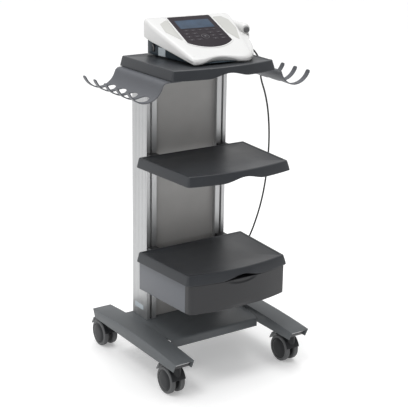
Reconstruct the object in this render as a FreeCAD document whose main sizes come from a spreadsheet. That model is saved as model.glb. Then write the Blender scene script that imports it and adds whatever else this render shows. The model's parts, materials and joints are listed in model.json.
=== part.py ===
"""Ultrasound therapy unit on its own trolley.

Frame: origin on the floor at the centre of the footprint, X to the right, front faces -Y, Z up.
Lengths are millimetres. The cells of the sheet Dims drive every size.
"""
import FreeCAD, Part
import math
import os
import re
import Sketcher

DIMS = {
    # base
    "leg_inner": 161, "leg_outer": 220, "leg_front": 232.5, "leg_back": 212.5, "leg_middle": -10,
    "leg_end_top": 110, "leg_crown_top": 120, "leg_hem": 85, "leg_wall": 2.5, "leg_slant": 14,
    "plate_top": 109.5, "plate_wall": 3.5, "plate_front": -94, "plate_narrow": 144, "plate_wide_y": -10,
    # castors, each drawn about its own wheel centre
    "castor_x": 190.5, "front_stem_y": -190, "rear_stem_y": 170, "trail": 25, "wheel_r": 37.5,
    "hub_r": 29.5, "axle_r": 4, "hub_gap": 7, "wheel_face": 22.5, "hub_dome": 25, "running_gap": 0.05,
    "hood_inner": 39.5, "hood_outer": 42.5, "hood_half": 21, "web_half": 5.5, "boss_r": 13,
    "stem_r": 5.5, "stem_low": 77.5, "stem_high": 100, "stem_plate": 4, "stem_plate_y": 60,
    "pin_r": 2, "lever_half": 9.5, "tab_half": 17,
    # column
    "column_outer": 130, "column_inner": 98, "column_front": 61, "column_back": 137,
    "column_top": 825, "slot_x": 116, "slot_half": 3.2, "slot_cavity": 7, "slot_lip": 2.5,
    "slot_depth": 10,
    "core_r": 4, "rib_pitch": 7.6, "rib_half": 0.5, "panel_gap": 4, "panel_wall": 2, "panel_set": 13,
    # shelves
    "shelf_skirt": 26.5, "shelf_wall": 3, "shelf_flare": 6, "shelf_bow": 22, "corner_r": 7,
    "top_z": 854.5, "top_back": 137, "top_front": -114, "top_back_half": 162, "top_front_half": 153,
    "middle_z": 598, "lower_z": 330, "shelf_back": 35, "shelf_front": -193, "shelf_back_half": 172,
    "shelf_front_half": 157, "arm_x": 114, "arm_half": 14, "arm_wall": 6, "arm_reach": -130,
    # drawer
    "drawer_bottom": 222, "drawer_top": 303.2, "drawer_half_back": 170, "drawer_half_front": 155,
    "drawer_back": 33, "drawer_joint": -176, "drawer_front": -195, "drawer_wall": 2, "drawer_gap": 0.8,
    "tray_half": 138, "tray_back": 15, "tray_floor": 230, "tray_rim": 288, "tray_wall": 2,
    "rail_low": 250, "rail_high": 272, "scoop_half": 50, "scoop_depth": 14,
    # hook trays
    "hook_front": -112, "hook_finger": 16, "hook_pitch": 56, "hook_wall": 3, "hook_flange": 826,
    "hook_flange_end": 173.96, "hook_flange_start": 132, "hook_bend": 14, "bowl_r": 51, "bowl_x": 235.9,
    "bowl_z": 831.7, "bowl_tip": 341, "slot_start": 199,
    # console
    "console_x": 19, "console_turn": -4, "console_floor": 857.5, "console_back": 117,
    "console_front": -98, "foot_r": 7,
    "shell_wall": 2.5, "shell_half_back": 133, "shell_half_front": 92, "base_half_back": 115,
    "base_half_front": 82, "base_front": -90, "seam_back_z": 905, "seam_front_z": 857,
    "deck_z": 907.6, "deck_slope": 21.8, "pad_wall": 1, "pad_half_low": 68, "pad_half_high": 65.5,
    "pad_low": -19.4, "pad_high": 113, "pad_bow": 96.6, "window_half": 50, "window_low": 50,
    "window_high": 88,
    "taper_start": 92, "switch_y": 86, "switch_z": 876, "switch_half": 9, "switch_wide": 5.7,
    "label_low": 35, "label_high": 65, "inlet_low": 46, "inlet_high": 73, "inlet_floor": 866,
    "inlet_roof": 886,
    "socket_x": 21, "socket_z": 885,
    # ultrasound head and its lead
    "head_x": 155.6, "head_y": 47, "head_z": 911, "head_r": 17, "head_gap": 0.4, "lead_r": 2.5,
    "relief_hole_r": 8, "wing_front": -72, "wing_back": 108, "wing_low": 862, "wing_high": 903,
    "wing_floor": 880, "wing_drop": 14, "wing_reach": 174,
}

doc = FreeCAD.newDocument("UltrasoundTrolley")
sheet = doc.addObject("Spreadsheet::Sheet", "Dims")
for row, (alias, number) in enumerate(DIMS.items(), start=1):
    sheet.set(f"A{row}", alias)
    sheet.set(f"B{row}", str(number))
    sheet.setAlias(f"B{row}", alias)
doc.recompute()

NODES = {}
ROLES = {"XY": "XY_Plane", "XZ": "XZ_Plane", "YZ": "YZ_Plane"}


# ---------------------------------------------------------------- helpers

def bound(text):
    """An expression in bare aliases, written out for the objects of the document."""
    def qualified(word):
        return "Dims." + word.group() if word.group() in DIMS else word.group()

    return re.sub(r"[a-z_]+", qualified, str(text))


def value(text):
    """The number that an expression in the sheet's aliases gives."""
    result = sheet.evalExpression(bound(text))
    return float(getattr(result, "Value", result))


def keep(item, name):
    """Makes a document object the node of that name."""
    item.Label = name
    NODES[name] = item
    return item


def new_body(name):
    return doc.addObject("PartDesign::Body", name)


def new_sketch(body, plane, offset=0):
    """A sketch on one of the body's own planes. XZ looks along +Y, so its offset counts towards -Y."""
    sketch = body.newObject("Sketcher::SketchObject", "Sketch")
    origin_plane = next(item for item in body.Origin.OriginFeatures if item.Role == ROLES[plane])
    sketch.AttachmentSupport = (origin_plane, "")
    sketch.MapMode = "FlatFace"
    sketch.setExpression("AttachmentOffset.Base.z", bound(offset))
    return sketch


def arc_middle(start, end, radius, turn):
    """Middle point of the short arc from start to end, turning left (+1) or right (-1)."""
    chord = end - start
    half = chord.Length / 2
    sagitta = radius - math.sqrt(max(radius * radius - half * half, 0))
    side = FreeCAD.Vector(chord.y, -chord.x, 0).normalize() * turn
    return (start + end) * 0.5 + side * sagitta


def outline(sketch, corners):
    """A closed outline. A corner is (x, y), or (x, y, radius, turn) if an arc leaves it for the next."""
    points = [FreeCAD.Vector(value(corner[0]), value(corner[1]), 0) for corner in corners]
    ends = []
    for index, corner in enumerate(corners):
        start, end = points[index], points[(index + 1) % len(points)]
        if len(corner) == 2:
            edge = sketch.addGeometry(Part.LineSegment(start, end), False)
            ends.append((edge, 1, 2))
        else:
            middle = arc_middle(start, end, value(corner[2]), corner[3])
            edge = sketch.addGeometry(Part.Arc(start, middle, end), False)
            ends.append((edge, 1, 2) if corner[3] > 0 else (edge, 2, 1))
            mark = sketch.addConstraint(Sketcher.Constraint("Radius", edge, value(corner[2])))
            sketch.setExpression(f"Constraints[{mark}]", bound(corner[2]))
    for index, corner in enumerate(corners):
        edge, first, _ = ends[index]
        before, _, last = ends[index - 1]
        sketch.addConstraint(Sketcher.Constraint("Coincident", before, last, edge, first))
        place_of = points[index]
        for kind, text, number in (("DistanceX", corner[0], place_of.x),
                                   ("DistanceY", corner[1], place_of.y)):
            mark = sketch.addConstraint(Sketcher.Constraint(kind, -1, 1, edge, first, number))
            sketch.setExpression(f"Constraints[{mark}]", bound(text))


def rectangle(sketch, x_low, y_low, x_high, y_high):
    outline(sketch, [(x_low, y_low), (x_high, y_low), (x_high, y_high), (x_low, y_high)])


def circle(sketch, x, y, radius):
    centre = FreeCAD.Vector(value(x), value(y), 0)
    edge = sketch.addGeometry(Part.Circle(centre, FreeCAD.Vector(0, 0, 1), value(radius)), False)
    for kind, text, number in (("DistanceX", x, centre.x), ("DistanceY", y, centre.y)):
        mark = sketch.addConstraint(Sketcher.Constraint(kind, -1, 1, edge, 3, number))
        sketch.setExpression(f"Constraints[{mark}]", bound(text))
    mark = sketch.addConstraint(Sketcher.Constraint("Radius", edge, value(radius)))
    sketch.setExpression(f"Constraints[{mark}]", bound(radius))


def pad(body, sketch, length, both=False, reverse=False):
    """Adds a sketch's prism to a body, along the sketch's normal or evenly on both sides."""
    feature = body.newObject("PartDesign::Pad", "Pad")
    feature.Profile = sketch
    feature.SideType = "Symmetric" if both else "One side"
    feature.Reversed = reverse
    feature.setExpression("Length", bound(length))
    return feature


def pocket(body, sketch, length, both=False, reverse=False):
    """Cuts a sketch's prism out of a body, against the sketch's normal or evenly on both sides."""
    feature = body.newObject("PartDesign::Pocket", "Pocket")
    feature.Profile = sketch
    feature.SideType = "Symmetric" if both else "One side"
    feature.Reversed = reverse
    feature.setExpression("Length", bound(length))
    return feature


def revolve(body, sketch):
    """Turns a profile of radius and height about the body's Z axis."""
    feature = body.newObject("PartDesign::Revolution", "Turning")
    feature.Profile = sketch
    feature.ReferenceAxis = (sketch, ["V_Axis"])
    feature.Angle = 360
    return feature


def loft(body, sketches):
    feature = body.newObject("PartDesign::AdditiveLoft", "Loft")
    feature.Profile = sketches[0]
    feature.Sections = sketches[1:]
    return feature


def round_edges(body, radius, wanted):
    """Rounds the edges of the body that the test wanted(edge) picks."""
    doc.recompute()
    base = body.Tip
    names = [f"Edge{number}" for number, edge in enumerate(base.Shape.Edges, start=1) if wanted(edge)]
    feature = body.newObject("PartDesign::Fillet", "Fillet")
    feature.Base = (base, names)
    feature.setExpression("Radius", bound(radius))
    return feature


def edge_along(direction, where=lambda point: True):
    """A test for straight edges that run along a direction and whose middle passes a second test."""
    def wanted(edge):
        start, end = edge.Vertexes[0].Point, edge.Vertexes[-1].Point
        run = end - start
        straight = run.Length > 1e-6 and abs(abs(run.normalize().dot(direction)) - 1) < 0.08
        return straight and where((start + end) * 0.5)
    return wanted


def place(item, x=0, y=0, z=0, axis=(0, 0, 1), angle=0):
    """Turns an object about an axis and moves it to a place bound to the sheet."""
    item.Placement = FreeCAD.Placement(FreeCAD.Vector(), FreeCAD.Rotation(FreeCAD.Vector(*axis), angle))
    for letter, text in (("x", x), ("y", y), ("z", z)):
        item.setExpression(f"Placement.Base.{letter}", bound(text))
    return item


def block(x_low, x_high, y_low, y_high, z_low, z_high, name="Block"):
    item = doc.addObject("Part::Box", name)
    item.setExpression("Length", bound(f"({x_high}) - ({x_low})"))
    item.setExpression("Width", bound(f"({y_high}) - ({y_low})"))
    item.setExpression("Height", bound(f"({z_high}) - ({z_low})"))
    return place(item, x_low, y_low, z_low)


def rod(radius, length, x, y, z, axis=(0, 0, 1), angle=0, name="Rod"):
    """A cylinder that starts at a point and runs along Z, or along the axis that the turn gives."""
    item = doc.addObject("Part::Cylinder", name)
    item.setExpression("Radius", bound(radius))
    item.setExpression("Height", bound(length))
    return place(item, x, y, z, axis, angle)


def fused(parts, name="Fused"):
    item = doc.addObject("Part::MultiFuse", name)
    item.Shapes = parts
    return item


def cut(base, tool, name="Cut"):
    item = doc.addObject("Part::Cut", name)
    item.Base = base
    item.Tool = tool
    return item


def group(parts, name="Group"):
    item = doc.addObject("Part::Compound", name)
    item.Links = parts
    return item


def turned(name, profiles, x, y, z, axis=(0, 1, 0), angle=90):
    """A body of revolution: closed outlines of (radius, height), turned and then placed."""
    body = new_body(name)
    for profile in profiles:
        sketch = new_sketch(body, "XZ")
        outline(sketch, profile)
        revolve(body, sketch)
    return place(body, x, y, z, axis, angle)


ALONG_X = {"axis": (0, 1, 0), "angle": 90}
ALONG_BACK = {"axis": (1, 0, 0), "angle": -90}
ALONG_FRONT = {"axis": (1, 0, 0), "angle": 90}


# ---------------------------------------------------------------- base

def leg_section(body, side, y, top):
    """One inverted U of folded sheet across the leg, at a place along it."""
    sketch = new_sketch(body, "XZ", f"-({y})")
    inner, outer = f"{side}*leg_inner", f"{side}*leg_outer"
    inner_wall, outer_wall = f"{side}*(leg_inner + leg_wall)", f"{side}*(leg_outer - leg_wall)"
    outline(sketch, [
        (outer, "leg_hem"), (outer, top), (inner, top), (inner, "leg_hem"),
        (inner_wall, "leg_hem"), (inner_wall, f"{top} - leg_wall"),
        (outer_wall, f"{top} - leg_wall"), (outer_wall, "leg_hem"),
    ])
    return sketch


def make_leg(name, side):
    """A crowned channel of folded sheet, open below, its ends cut on a slant."""
    body = new_body(name)
    loft(body, [
        leg_section(body, side, "-leg_front", "leg_end_top"),
        leg_section(body, side, "leg_middle", "leg_crown_top"),
        leg_section(body, side, "leg_back", "leg_end_top"),
    ])
    for end, step in (("-leg_front", 1), ("leg_back", -1)):
        sketch = new_sketch(body, "YZ", f"{side}*(leg_inner + leg_outer)/2")
        outline(sketch, [
            (end, "leg_end_top"), (f"{end} - {step}*5", "leg_end_top"),
            (f"{end} - {step}*5", "leg_hem - 5"), (f"{end} + {step}*leg_slant", "leg_hem - 5"),
        ])
        pocket(body, sketch, 80, both=True)
    keep(body, name)


def make_base_plate():
    """A wide folded plate that carries the column between the legs, narrower at its front."""
    body = new_body("base_plate")
    profile = new_sketch(body, "YZ")
    outline(profile, [
        ("plate_front", "leg_hem"), ("plate_front", "plate_top - 6", "6", -1),
        ("plate_front + 6", "plate_top"),
        ("column_back", "plate_top"), ("column_back", "leg_hem"), ("column_back - plate_wall", "leg_hem"),
        ("column_back - plate_wall", "plate_top - plate_wall"),
        ("plate_front + plate_wall", "plate_top - plate_wall"), ("plate_front + plate_wall", "leg_hem"),
    ])
    pad(body, profile, "2*leg_inner", both=True)
    for side in (-1, 1):
        corner = new_sketch(body, "XY", "plate_top")
        outline(corner, [
            (f"{side}*leg_inner", "plate_wide_y"), (f"{side}*(leg_inner + 5)", "plate_wide_y"),
            (f"{side}*(leg_inner + 5)", "plate_front - 5"), (f"{side}*plate_narrow", "plate_front - 5"),
            (f"{side}*plate_narrow", "plate_front"),
        ])
        pocket(body, corner, 60, both=True)
    for x in ("-slot_x", "slot_x"):
        for y in ("column_front + 22", "column_back - 22"):
            hole = new_sketch(body, "XY", "plate_top")
            circle(hole, x, y, "core_r")
            pocket(body, hole, 20, both=True)
    keep(body, "base_plate")


def make_column_bolts():
    """Four hexagon bolts from below the base plate into the extrusions' round cores."""
    bolts = []
    for x in ("-slot_x", "slot_x"):
        for y in ("column_front + 22", "column_back - 22"):
            body = new_body("Bolt")
            head = new_sketch(body, "XY", 0)
            outline(head, [(f"{7.5 * math.cos(math.radians(a)):.4f}",
                            f"{7.5 * math.sin(math.radians(a)):.4f}")
                           for a in range(0, 360, 60)])
            pad(body, head, 5.3)
            shank = new_sketch(body, "XY", 5.3)
            circle(shank, 0, 0, "core_r")
            pad(body, shank, 36)
            bolts.append(place(body, x, y, "plate_top - plate_wall - 5.3"))
    keep(group(bolts), "column_bolts")


def make_castor_stems():
    """A mounting plate across each leg end with the castor's stem below it."""
    stems = []
    for side in (-1, 1):
        for y in ("front_stem_y", "rear_stem_y"):
            x = f"{side}*castor_x"
            plate = block(f"{x} - (leg_outer - leg_inner)/2 + leg_wall",
                          f"{x} + (leg_outer - leg_inner)/2 - leg_wall",
                          f"{y} - stem_plate_y/2", f"{y} + stem_plate_y/2", "stem_high",
                          "stem_high + stem_plate")
            stem = rod("stem_r", "stem_high - stem_low", x, y, "stem_low")
            stems.append(fused([plate, stem]))
    keep(group(stems), "castor_stems")


# ---------------------------------------------------------------- castors

def ring_point(radius, degrees):
    """Side view point (y, z) about the wheel centre; 0 degrees is straight back, 90 is up."""
    angle = math.radians(degrees)
    return f"({radius})*{math.cos(angle):.5f}", f"({radius})*{math.sin(angle):.5f}"


def make_castor_housing(name, x, y):
    """A hood over both wheels, a web between them and a boss round the stem."""
    body = new_body(name)
    boss = new_sketch(body, "XY", 10)
    circle(boss, 0, "-trail", "boss_r")
    pad(body, boss, "stem_high - 4 - wheel_r - 10")
    clearance = new_sketch(body, "YZ")
    circle(clearance, 0, 0, "hood_inner + 1.5")
    pocket(body, clearance, 60, both=True)
    hood = new_sketch(body, "YZ")
    front, back = 165, 68
    outline(hood, [
        (*ring_point("hood_outer", front), "hood_outer", -1), ring_point("hood_outer", back),
        (*ring_point("hood_inner", back), "hood_inner", 1), ring_point("hood_inner", front),
    ])
    pad(body, hood, "2*hood_half", both=True)
    web = new_sketch(body, "YZ")
    outline(web, [
        (*ring_point("hood_outer - 1", front - 5), "hood_outer - 1", -1),
        ring_point("hood_outer - 1", back + 6),
        (25.5, 43), (27.5, 37), (12, -8), (-14, -8),
    ])
    pad(body, web, "2*web_half", both=True)
    for y_hole, z_hole, radius in ((0, 0, "axle_r"), (23, 39.4, "pin_r + running_gap")):
        hole = new_sketch(body, "YZ")
        circle(hole, y_hole, z_hole, radius)
        pocket(body, hole, 60, both=True)
    socket = new_sketch(body, "XY", "stem_high - wheel_r")
    circle(socket, 0, "-trail", "stem_r + running_gap")
    pocket(body, socket, "stem_high - stem_low + 0.5")
    round_edges(body, 1.2, lambda edge: edge.Curve.TypeId == "Part::GeomCircle"
                and abs(edge.Curve.Radius - DIMS["hood_outer"]) < 0.01 and abs(edge.Curve.Axis.x) > 0.9
                and abs(abs(edge.Vertexes[0].Point.x) - DIMS["hood_half"]) < 0.01)
    keep(place(body, x, y, "wheel_r"), name)


def make_brake_lever(name, x, y):
    """A foot tab behind the hood, with two cheeks and the pin that it turns on."""
    body = new_body(name)
    cheeks = new_sketch(body, "YZ")
    outline(cheeks, [(19.5, 37.6), (19.5, 42.2), (25, 43.6), (36, 35.4), (37.4, 30.6), (35.4, 27.6),
                     (30, 33.6)])
    pad(body, cheeks, "2*lever_half", both=True)
    gap = new_sketch(body, "YZ")
    outline(gap, [(15, 30), (15, 50), (29.2, 50), (29.2, 30)])
    pocket(body, gap, "2*web_half + 1", both=True)
    tab = new_sketch(body, "YZ")
    outline(tab, [(33, 33.4), (35, 36), (40, 31.5), (49, 15), (47, 12.6), (37, 28)])
    pad(body, tab, "2*tab_half", both=True)
    pin = new_sketch(body, "YZ")
    circle(pin, 23, 39.4, "pin_r")
    pad(body, pin, "2*lever_half", both=True)
    keep(place(body, x, y, "wheel_r"), name)


def make_castor(label, side, stem_y):
    """One swivelling twin-wheel castor that trails towards the back."""
    x, y = f"{side}*castor_x", f"{stem_y} + trail"
    make_castor_housing(f"{label}_housing", x, y)
    keep(rod("axle_r", "2*wheel_face - 1", f"{x} - wheel_face + 0.5", y, "wheel_r", **ALONG_X),
         f"{label}_axle")
    bore = "axle_r + running_gap"
    hubs, tyres = [], []
    for way in (-1, 1):
        hubs.append([
            (bore, f"{way}*hub_gap"), ("hub_r", f"{way}*hub_gap"), ("hub_r", f"{way}*(wheel_face - 1)"),
            ("hub_r - 9", f"{way}*(hub_dome - 0.6)"), (0, f"{way}*hub_dome"),
            (0, f"{way}*(wheel_face + 0.2)"), (bore, f"{way}*(wheel_face + 0.2)"),
        ])
        tyres.append([
            ("hub_r", f"{way}*(hub_gap + 0.5)"), ("wheel_r - 2", f"{way}*(hub_gap + 0.5)"),
            ("wheel_r", f"{way}*(hub_gap + 3)"), ("wheel_r", f"{way}*(wheel_face - 4)"),
            ("wheel_r - 2.5", f"{way}*(wheel_face - 1)"), ("hub_r", f"{way}*(wheel_face - 1)"),
        ])
    keep(turned("Hubs", hubs, x, y, "wheel_r"), f"{label}_hubs")
    keep(turned("Tyres", tyres, x, y, "wheel_r"), f"{label}_tyres")
    make_brake_lever(f"{label}_brake", x, y)


# ---------------------------------------------------------------- column

def make_extrusion(name, side):
    """An aluminium profile: hollow chambers, round screw cores, T-slots front and back, ribbed outside."""
    body = new_body(name)
    outer, inner, slot = f"{side}*column_outer", f"{side}*column_inner", f"{side}*slot_x"
    profile = new_sketch(body, "XY", "plate_top")
    front_slot = [
        (f"{slot} + {side}*slot_half", "column_front"),
        (f"{slot} + {side}*slot_half", "column_front + slot_lip"),
        (f"{slot} + {side}*slot_cavity", "column_front + slot_lip"),
        (f"{slot} + {side}*slot_cavity", "column_front + slot_depth"),
        (f"{slot} - {side}*slot_cavity", "column_front + slot_depth"),
        (f"{slot} - {side}*slot_cavity", "column_front + slot_lip"),
        (f"{slot} - {side}*slot_half", "column_front + slot_lip"),
        (f"{slot} - {side}*slot_half", "column_front"),
    ]
    back_slot = [(x, y.replace("column_front +", "column_back -").replace("column_front", "column_back"))
                 for x, y in reversed(front_slot)]
    outline(profile, [(outer, "column_front")] + front_slot
            + [(inner, "column_front"), (inner, "column_back")]
            + back_slot + [(outer, "column_back")])
    pad(body, profile, "column_top - plate_top")
    chamber = new_sketch(body, "XY", "column_top")
    rectangle(chamber, f"{inner} + {side}*2.5", "column_front + 28", f"{outer} - {side}*3.5",
              "column_back - 28")
    pocket(body, chamber, "column_top")
    for y in ("column_front + 22", "column_back - 22"):
        core = new_sketch(body, "XY", "column_top")
        circle(core, slot, y, "core_r")
        pocket(body, core, "column_top")
    groove = new_sketch(body, "XY", "column_top")
    rectangle(groove, f"{outer} - {side}*0.8", "column_front + 6 - rib_half", f"{outer} + {side}*1",
              "column_front + 6 + rib_half")
    first = pocket(body, groove, "column_top")
    ribs = body.newObject("PartDesign::LinearPattern", "Ribs")
    ribs.Originals = [first]
    ribs.Direction = (groove, ["V_Axis"])
    ribs.setExpression("Length", bound("8*rib_pitch"))
    ribs.Occurrences = 9
    body.Tip = ribs
    keep(body, name)


def make_column_panels():
    """Two sheet panels that close the column between its extrusions."""
    keep(group([block("-column_inner", "column_inner", y, f"{y} + panel_wall", "plate_top", "column_top")
                for y in ("column_front + panel_set", "column_back - panel_gap - panel_wall")]),
                "column_panels")


# ---------------------------------------------------------------- shelves

def shelf_outline(body, z, back, front, back_half, front_half, grow):
    """A trapezoid in plan with a front edge bowed forward, grown by a margin on all sides."""
    sketch = new_sketch(body, "XY", z)
    chord = f"({front_half} + {grow})"
    radius = f"({chord}*{chord} + shelf_bow*shelf_bow)/(2*shelf_bow)"
    outline(sketch, [
        (f"-({back_half} + {grow})", f"{back} + {grow}"),
        (f"-{chord}", f"{front} - {grow}", radius, 1), (chord, f"{front} - {grow}"),
        (f"{back_half} + {grow}", f"{back} + {grow}"),
    ])
    return sketch


def make_shelf(name, z, back, front, back_half, front_half):
    """A moulded tray turned upside down: flat top, flared skirt, a lifted lip at the skirt's middle."""
    body = new_body(name)
    plan = (back, front, back_half, front_half)
    skirt = pad(body, shelf_outline(body, z, *plan, "0"), "shelf_skirt", reverse=True)
    skirt.setExpression("TaperAngle", bound("atan(shelf_flare/shelf_skirt)"))
    upright = FreeCAD.Vector(0, 0, 1)
    round_edges(body, "corner_r", edge_along(upright, lambda point: point.y < value(front) + 20))
    round_edges(body, 5, edge_along(upright, lambda point: point.y > value(back) - 5))
    doc.recompute()
    space = pocket(body, shelf_outline(body, f"{z} - shelf_wall", *plan, "-shelf_wall/2"), "shelf_skirt")
    space.setExpression("TaperAngle", bound("atan(shelf_flare/shelf_skirt)"))
    notch = new_sketch(body, "XZ", f"-({back} - 12)")
    for side in (-1, 1):
        rectangle(notch, f"{side}*arm_x - arm_half - 0.5", f"{z} - shelf_skirt - 1",
                  f"{side}*arm_x + arm_half + 0.5", f"{z} - shelf_wall")
    pocket(body, notch, 30)
    lip = new_sketch(body, "XZ", f"-({front} + 8)")
    outline(lip, [("-arm_x/2", f"{z} - shelf_skirt - 1"),
                  ("arm_x/2", f"{z} - shelf_skirt - 1", "arm_x*1.2", 1)])
    pocket(body, lip, 60, reverse=True)
    keep(body, name)


def make_shelf_arms():
    """Two steel arms under each shelf, bolted to the front of the extrusions or laid on their tops."""
    arms = []
    for side in (-1, 1):
        x = f"{side}*arm_x"
        for z in ("middle_z", "lower_z"):
            bar = block(f"{x} - arm_half", f"{x} + arm_half", "arm_reach", "column_front",
                        f"{z} - shelf_wall - arm_wall", f"{z} - shelf_wall")
            foot = block(f"{x} - arm_half", f"{x} + arm_half", "column_front - arm_wall", "column_front",
                         f"{z} - shelf_skirt", f"{z} - shelf_wall")
            arms.append(fused([bar, foot]))
        arms.append(block(f"{x} - arm_half", f"{x} + arm_half", "arm_reach + 60", "top_back - 12",
                          "column_top", "top_z - shelf_wall"))
    keep(group(arms), "shelf_arms")


# ---------------------------------------------------------------- drawer

def drawer_half(y):
    """Half the drawer cabinet's width at a place along it."""
    slope = "(drawer_half_back - drawer_half_front)/(drawer_back - drawer_front)"
    return f"(drawer_half_front + ({y} - drawer_front)*{slope})"


def make_drawer_housing():
    """A sheet cabinet below the lower shelf, open at the front."""
    body = new_body("drawer_housing")
    plan = new_sketch(body, "XY", "drawer_bottom")
    joint_half = drawer_half("drawer_joint")
    outline(plan, [("-drawer_half_back", "drawer_back"), (f"-{joint_half}", "drawer_joint"),
                   (joint_half, "drawer_joint"), ("drawer_half_back", "drawer_back")])
    pad(body, plan, "drawer_top - drawer_bottom")
    inside = new_sketch(body, "XY", "drawer_bottom + drawer_wall")
    outline(inside, [("-drawer_half_back + drawer_wall", "drawer_back - drawer_wall"),
                     (f"-{joint_half} + drawer_wall", "drawer_joint - 5"),
                     (f"{joint_half} - drawer_wall", "drawer_joint - 5"),
                     ("drawer_half_back - drawer_wall", "drawer_back - drawer_wall")])
    pocket(body, inside, "drawer_top - drawer_bottom - 2*drawer_wall", reverse=True)
    keep(body, "drawer_housing")


def make_drawer_spacers():
    """Four turned spacers between the cabinet and the arms of the lower shelf."""
    spacers = [rod(6, "lower_z - shelf_wall - arm_wall - drawer_top", x, y, "drawer_top")
               for x in ("-arm_x", "arm_x") for y in (-100, 10)]
    keep(group(spacers), "drawer_spacers")


def make_drawer_front():
    """A bowed moulding across the drawer with a finger scoop at the top and a shallow one below."""
    body = new_body("drawer_front")
    low, high = "drawer_bottom", "drawer_top - 0.4"
    joint_half = drawer_half("drawer_joint")
    radius = "(drawer_half_front*drawer_half_front + shelf_bow*shelf_bow)/(2*shelf_bow)"
    plan = new_sketch(body, "XY", low)
    back = "drawer_joint - drawer_gap"
    outline(plan, [(f"-{joint_half}", back), ("-drawer_half_front", "drawer_front", radius, 1),
                   ("drawer_half_front", "drawer_front"), (joint_half, back)])
    pad(body, plan, f"{high} - {low}")
    round_edges(body, 9, edge_along(FreeCAD.Vector(0, 0, 1),
                                    lambda point: point.y < DIMS["drawer_front"] + 2))
    doc.recompute()
    hollow = new_sketch(body, "XY", f"{low} + 3")
    outline(hollow, [("-drawer_half_front + 8", f"{back} + 1"),
                     ("-drawer_half_front + 8", "drawer_front + 6", f"{radius} - 8", 1),
                     ("drawer_half_front - 8", "drawer_front + 6"),
                     ("drawer_half_front - 8", f"{back} + 1")])
    pocket(body, hollow, "drawer_top - drawer_bottom - scoop_depth - 12", reverse=True)
    for z, end, depth in ((f"{high} + 1", 1, 7), (f"{low} - 1", -1, 2.5)):
        scoop = new_sketch(body, "XZ", f"-(drawer_front - shelf_bow + {depth})")
        outline(scoop, [(f"-{end}*scoop_half", z,
                         "scoop_half*scoop_half/2/scoop_depth + scoop_depth/2 + 1", 1),
                        (f"{end}*scoop_half", z)])
        pocket(body, scoop, 40, reverse=True)
    keep(body, "drawer_front")


def make_drawer_tray():
    """An open tray behind the drawer front."""
    body = new_body("drawer_tray")
    plan = new_sketch(body, "XY", "tray_floor")
    rectangle(plan, "-tray_half", "drawer_joint - drawer_gap", "tray_half", "tray_back")
    pad(body, plan, "tray_rim - tray_floor")
    inside = new_sketch(body, "XY", "tray_floor + tray_wall")
    rectangle(inside, "-tray_half + tray_wall", "drawer_joint - drawer_gap + tray_wall",
              "tray_half - tray_wall", "tray_back - tray_wall")
    pocket(body, inside, 80, reverse=True)
    keep(body, "drawer_tray")


def make_runners():
    """Fixed rails that stand on the cabinet's floor and slides on the tray's sides."""
    rails, slides = [], []
    for side in (-1, 1):
        low, high = sorted([f"{side}*(tray_half + 5)", f"{side}*(tray_half + 12)"], key=value)
        rails.append(block(low, high, "drawer_joint + 6", "tray_back + 5",
                           "drawer_bottom + drawer_wall", "rail_high"))
        low, high = sorted([f"{side}*tray_half", f"{side}*(tray_half + 4.8)"], key=value)
        slides.append(block(low, high, "drawer_joint + 4", "tray_back", "rail_low + 3", "rail_high - 3"))
    keep(group(rails), "drawer_rails")
    keep(group(slides), "drawer_slides")


# ---------------------------------------------------------------- hook trays

def make_hook_tray(name, side):
    """A bent sheet that hangs from below the top shelf and ends in five upturned fingers."""
    body = new_body(name)
    half = "hook_wall/2"
    bend_z = "(hook_flange - hook_bend)"
    bend_x = "hook_flange_end"
    start, tip = "197.64", "bowl_tip - 360"
    bend_angle = "17.64"

    def on_bowl(radius, angle):
        return (f"{side}*(bowl_x + ({radius})*cos(({angle})*1deg))",
                f"bowl_z + ({radius})*sin(({angle})*1deg)")

    def on_bend(radius):
        return (f"{side}*({bend_x} + ({radius})*cos({bend_angle}deg))",
                f"{bend_z} + ({radius})*sin({bend_angle}deg)")

    sketch = new_sketch(body, "XZ", "-hook_front")
    outline(sketch, [
        (f"{side}*hook_flange_start", f"hook_flange + {half}"),
        (f"{side}*{bend_x}", f"hook_flange + {half}", f"hook_bend + {half}", -side),
        (*on_bend(f"hook_bend + {half}"), ),
        (*on_bowl(f"bowl_r - {half}", start), f"bowl_r - {half}", side),
        (*on_bowl(f"bowl_r - {half}", tip), ),
        (*on_bowl(f"bowl_r + {half}", tip), f"bowl_r + {half}", -side),
        (*on_bowl(f"bowl_r + {half}", start), ),
        (*on_bend(f"hook_bend - {half}"), f"hook_bend - {half}", side),
        (f"{side}*{bend_x}", f"hook_flange - {half}"),
        (f"{side}*hook_flange_start", f"hook_flange - {half}"),
    ])
    pad(body, sketch, "4*hook_pitch + hook_finger", reverse=True)
    slot = new_sketch(body, "XY", "bowl_z")
    first = "hook_front + hook_finger"
    last = "hook_front + hook_pitch"
    outline(slot, [(f"{side}*(slot_start + 12)", first, ), (f"{side}*320", first), (f"{side}*320", last),
                   (f"{side}*(slot_start + 12)", last, ), (f"{side}*slot_start", f"{last} - 9"),
                   (f"{side}*slot_start", f"{first} + 9")])
    opening = pocket(body, slot, 160, both=True)
    slots = body.newObject("PartDesign::LinearPattern", "Slots")
    slots.Originals = [opening]
    slots.Direction = (slot, ["V_Axis"])
    slots.setExpression("Length", bound("3*hook_pitch"))
    slots.Occurrences = 4
    body.Tip = slots
    round_edges(body, 7, lambda edge: abs(edge.Length - DIMS["hook_wall"]) < 0.05
                and abs(edge.Vertexes[0].Point.x) > 270)
    keep(body, name)


def make_hook_screws():
    """Pan-head screws that hold each hook tray's flange to the arms under the shelf."""
    screws = []
    for side in (-1, 1):
        for y in (-90, -10, 70):
            head = rod(4.5, 2.6, f"{side}*142", y, "hook_flange - hook_wall/2 - 2.6")
            screws.append(head)
    keep(group(screws), "hook_screws")


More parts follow.
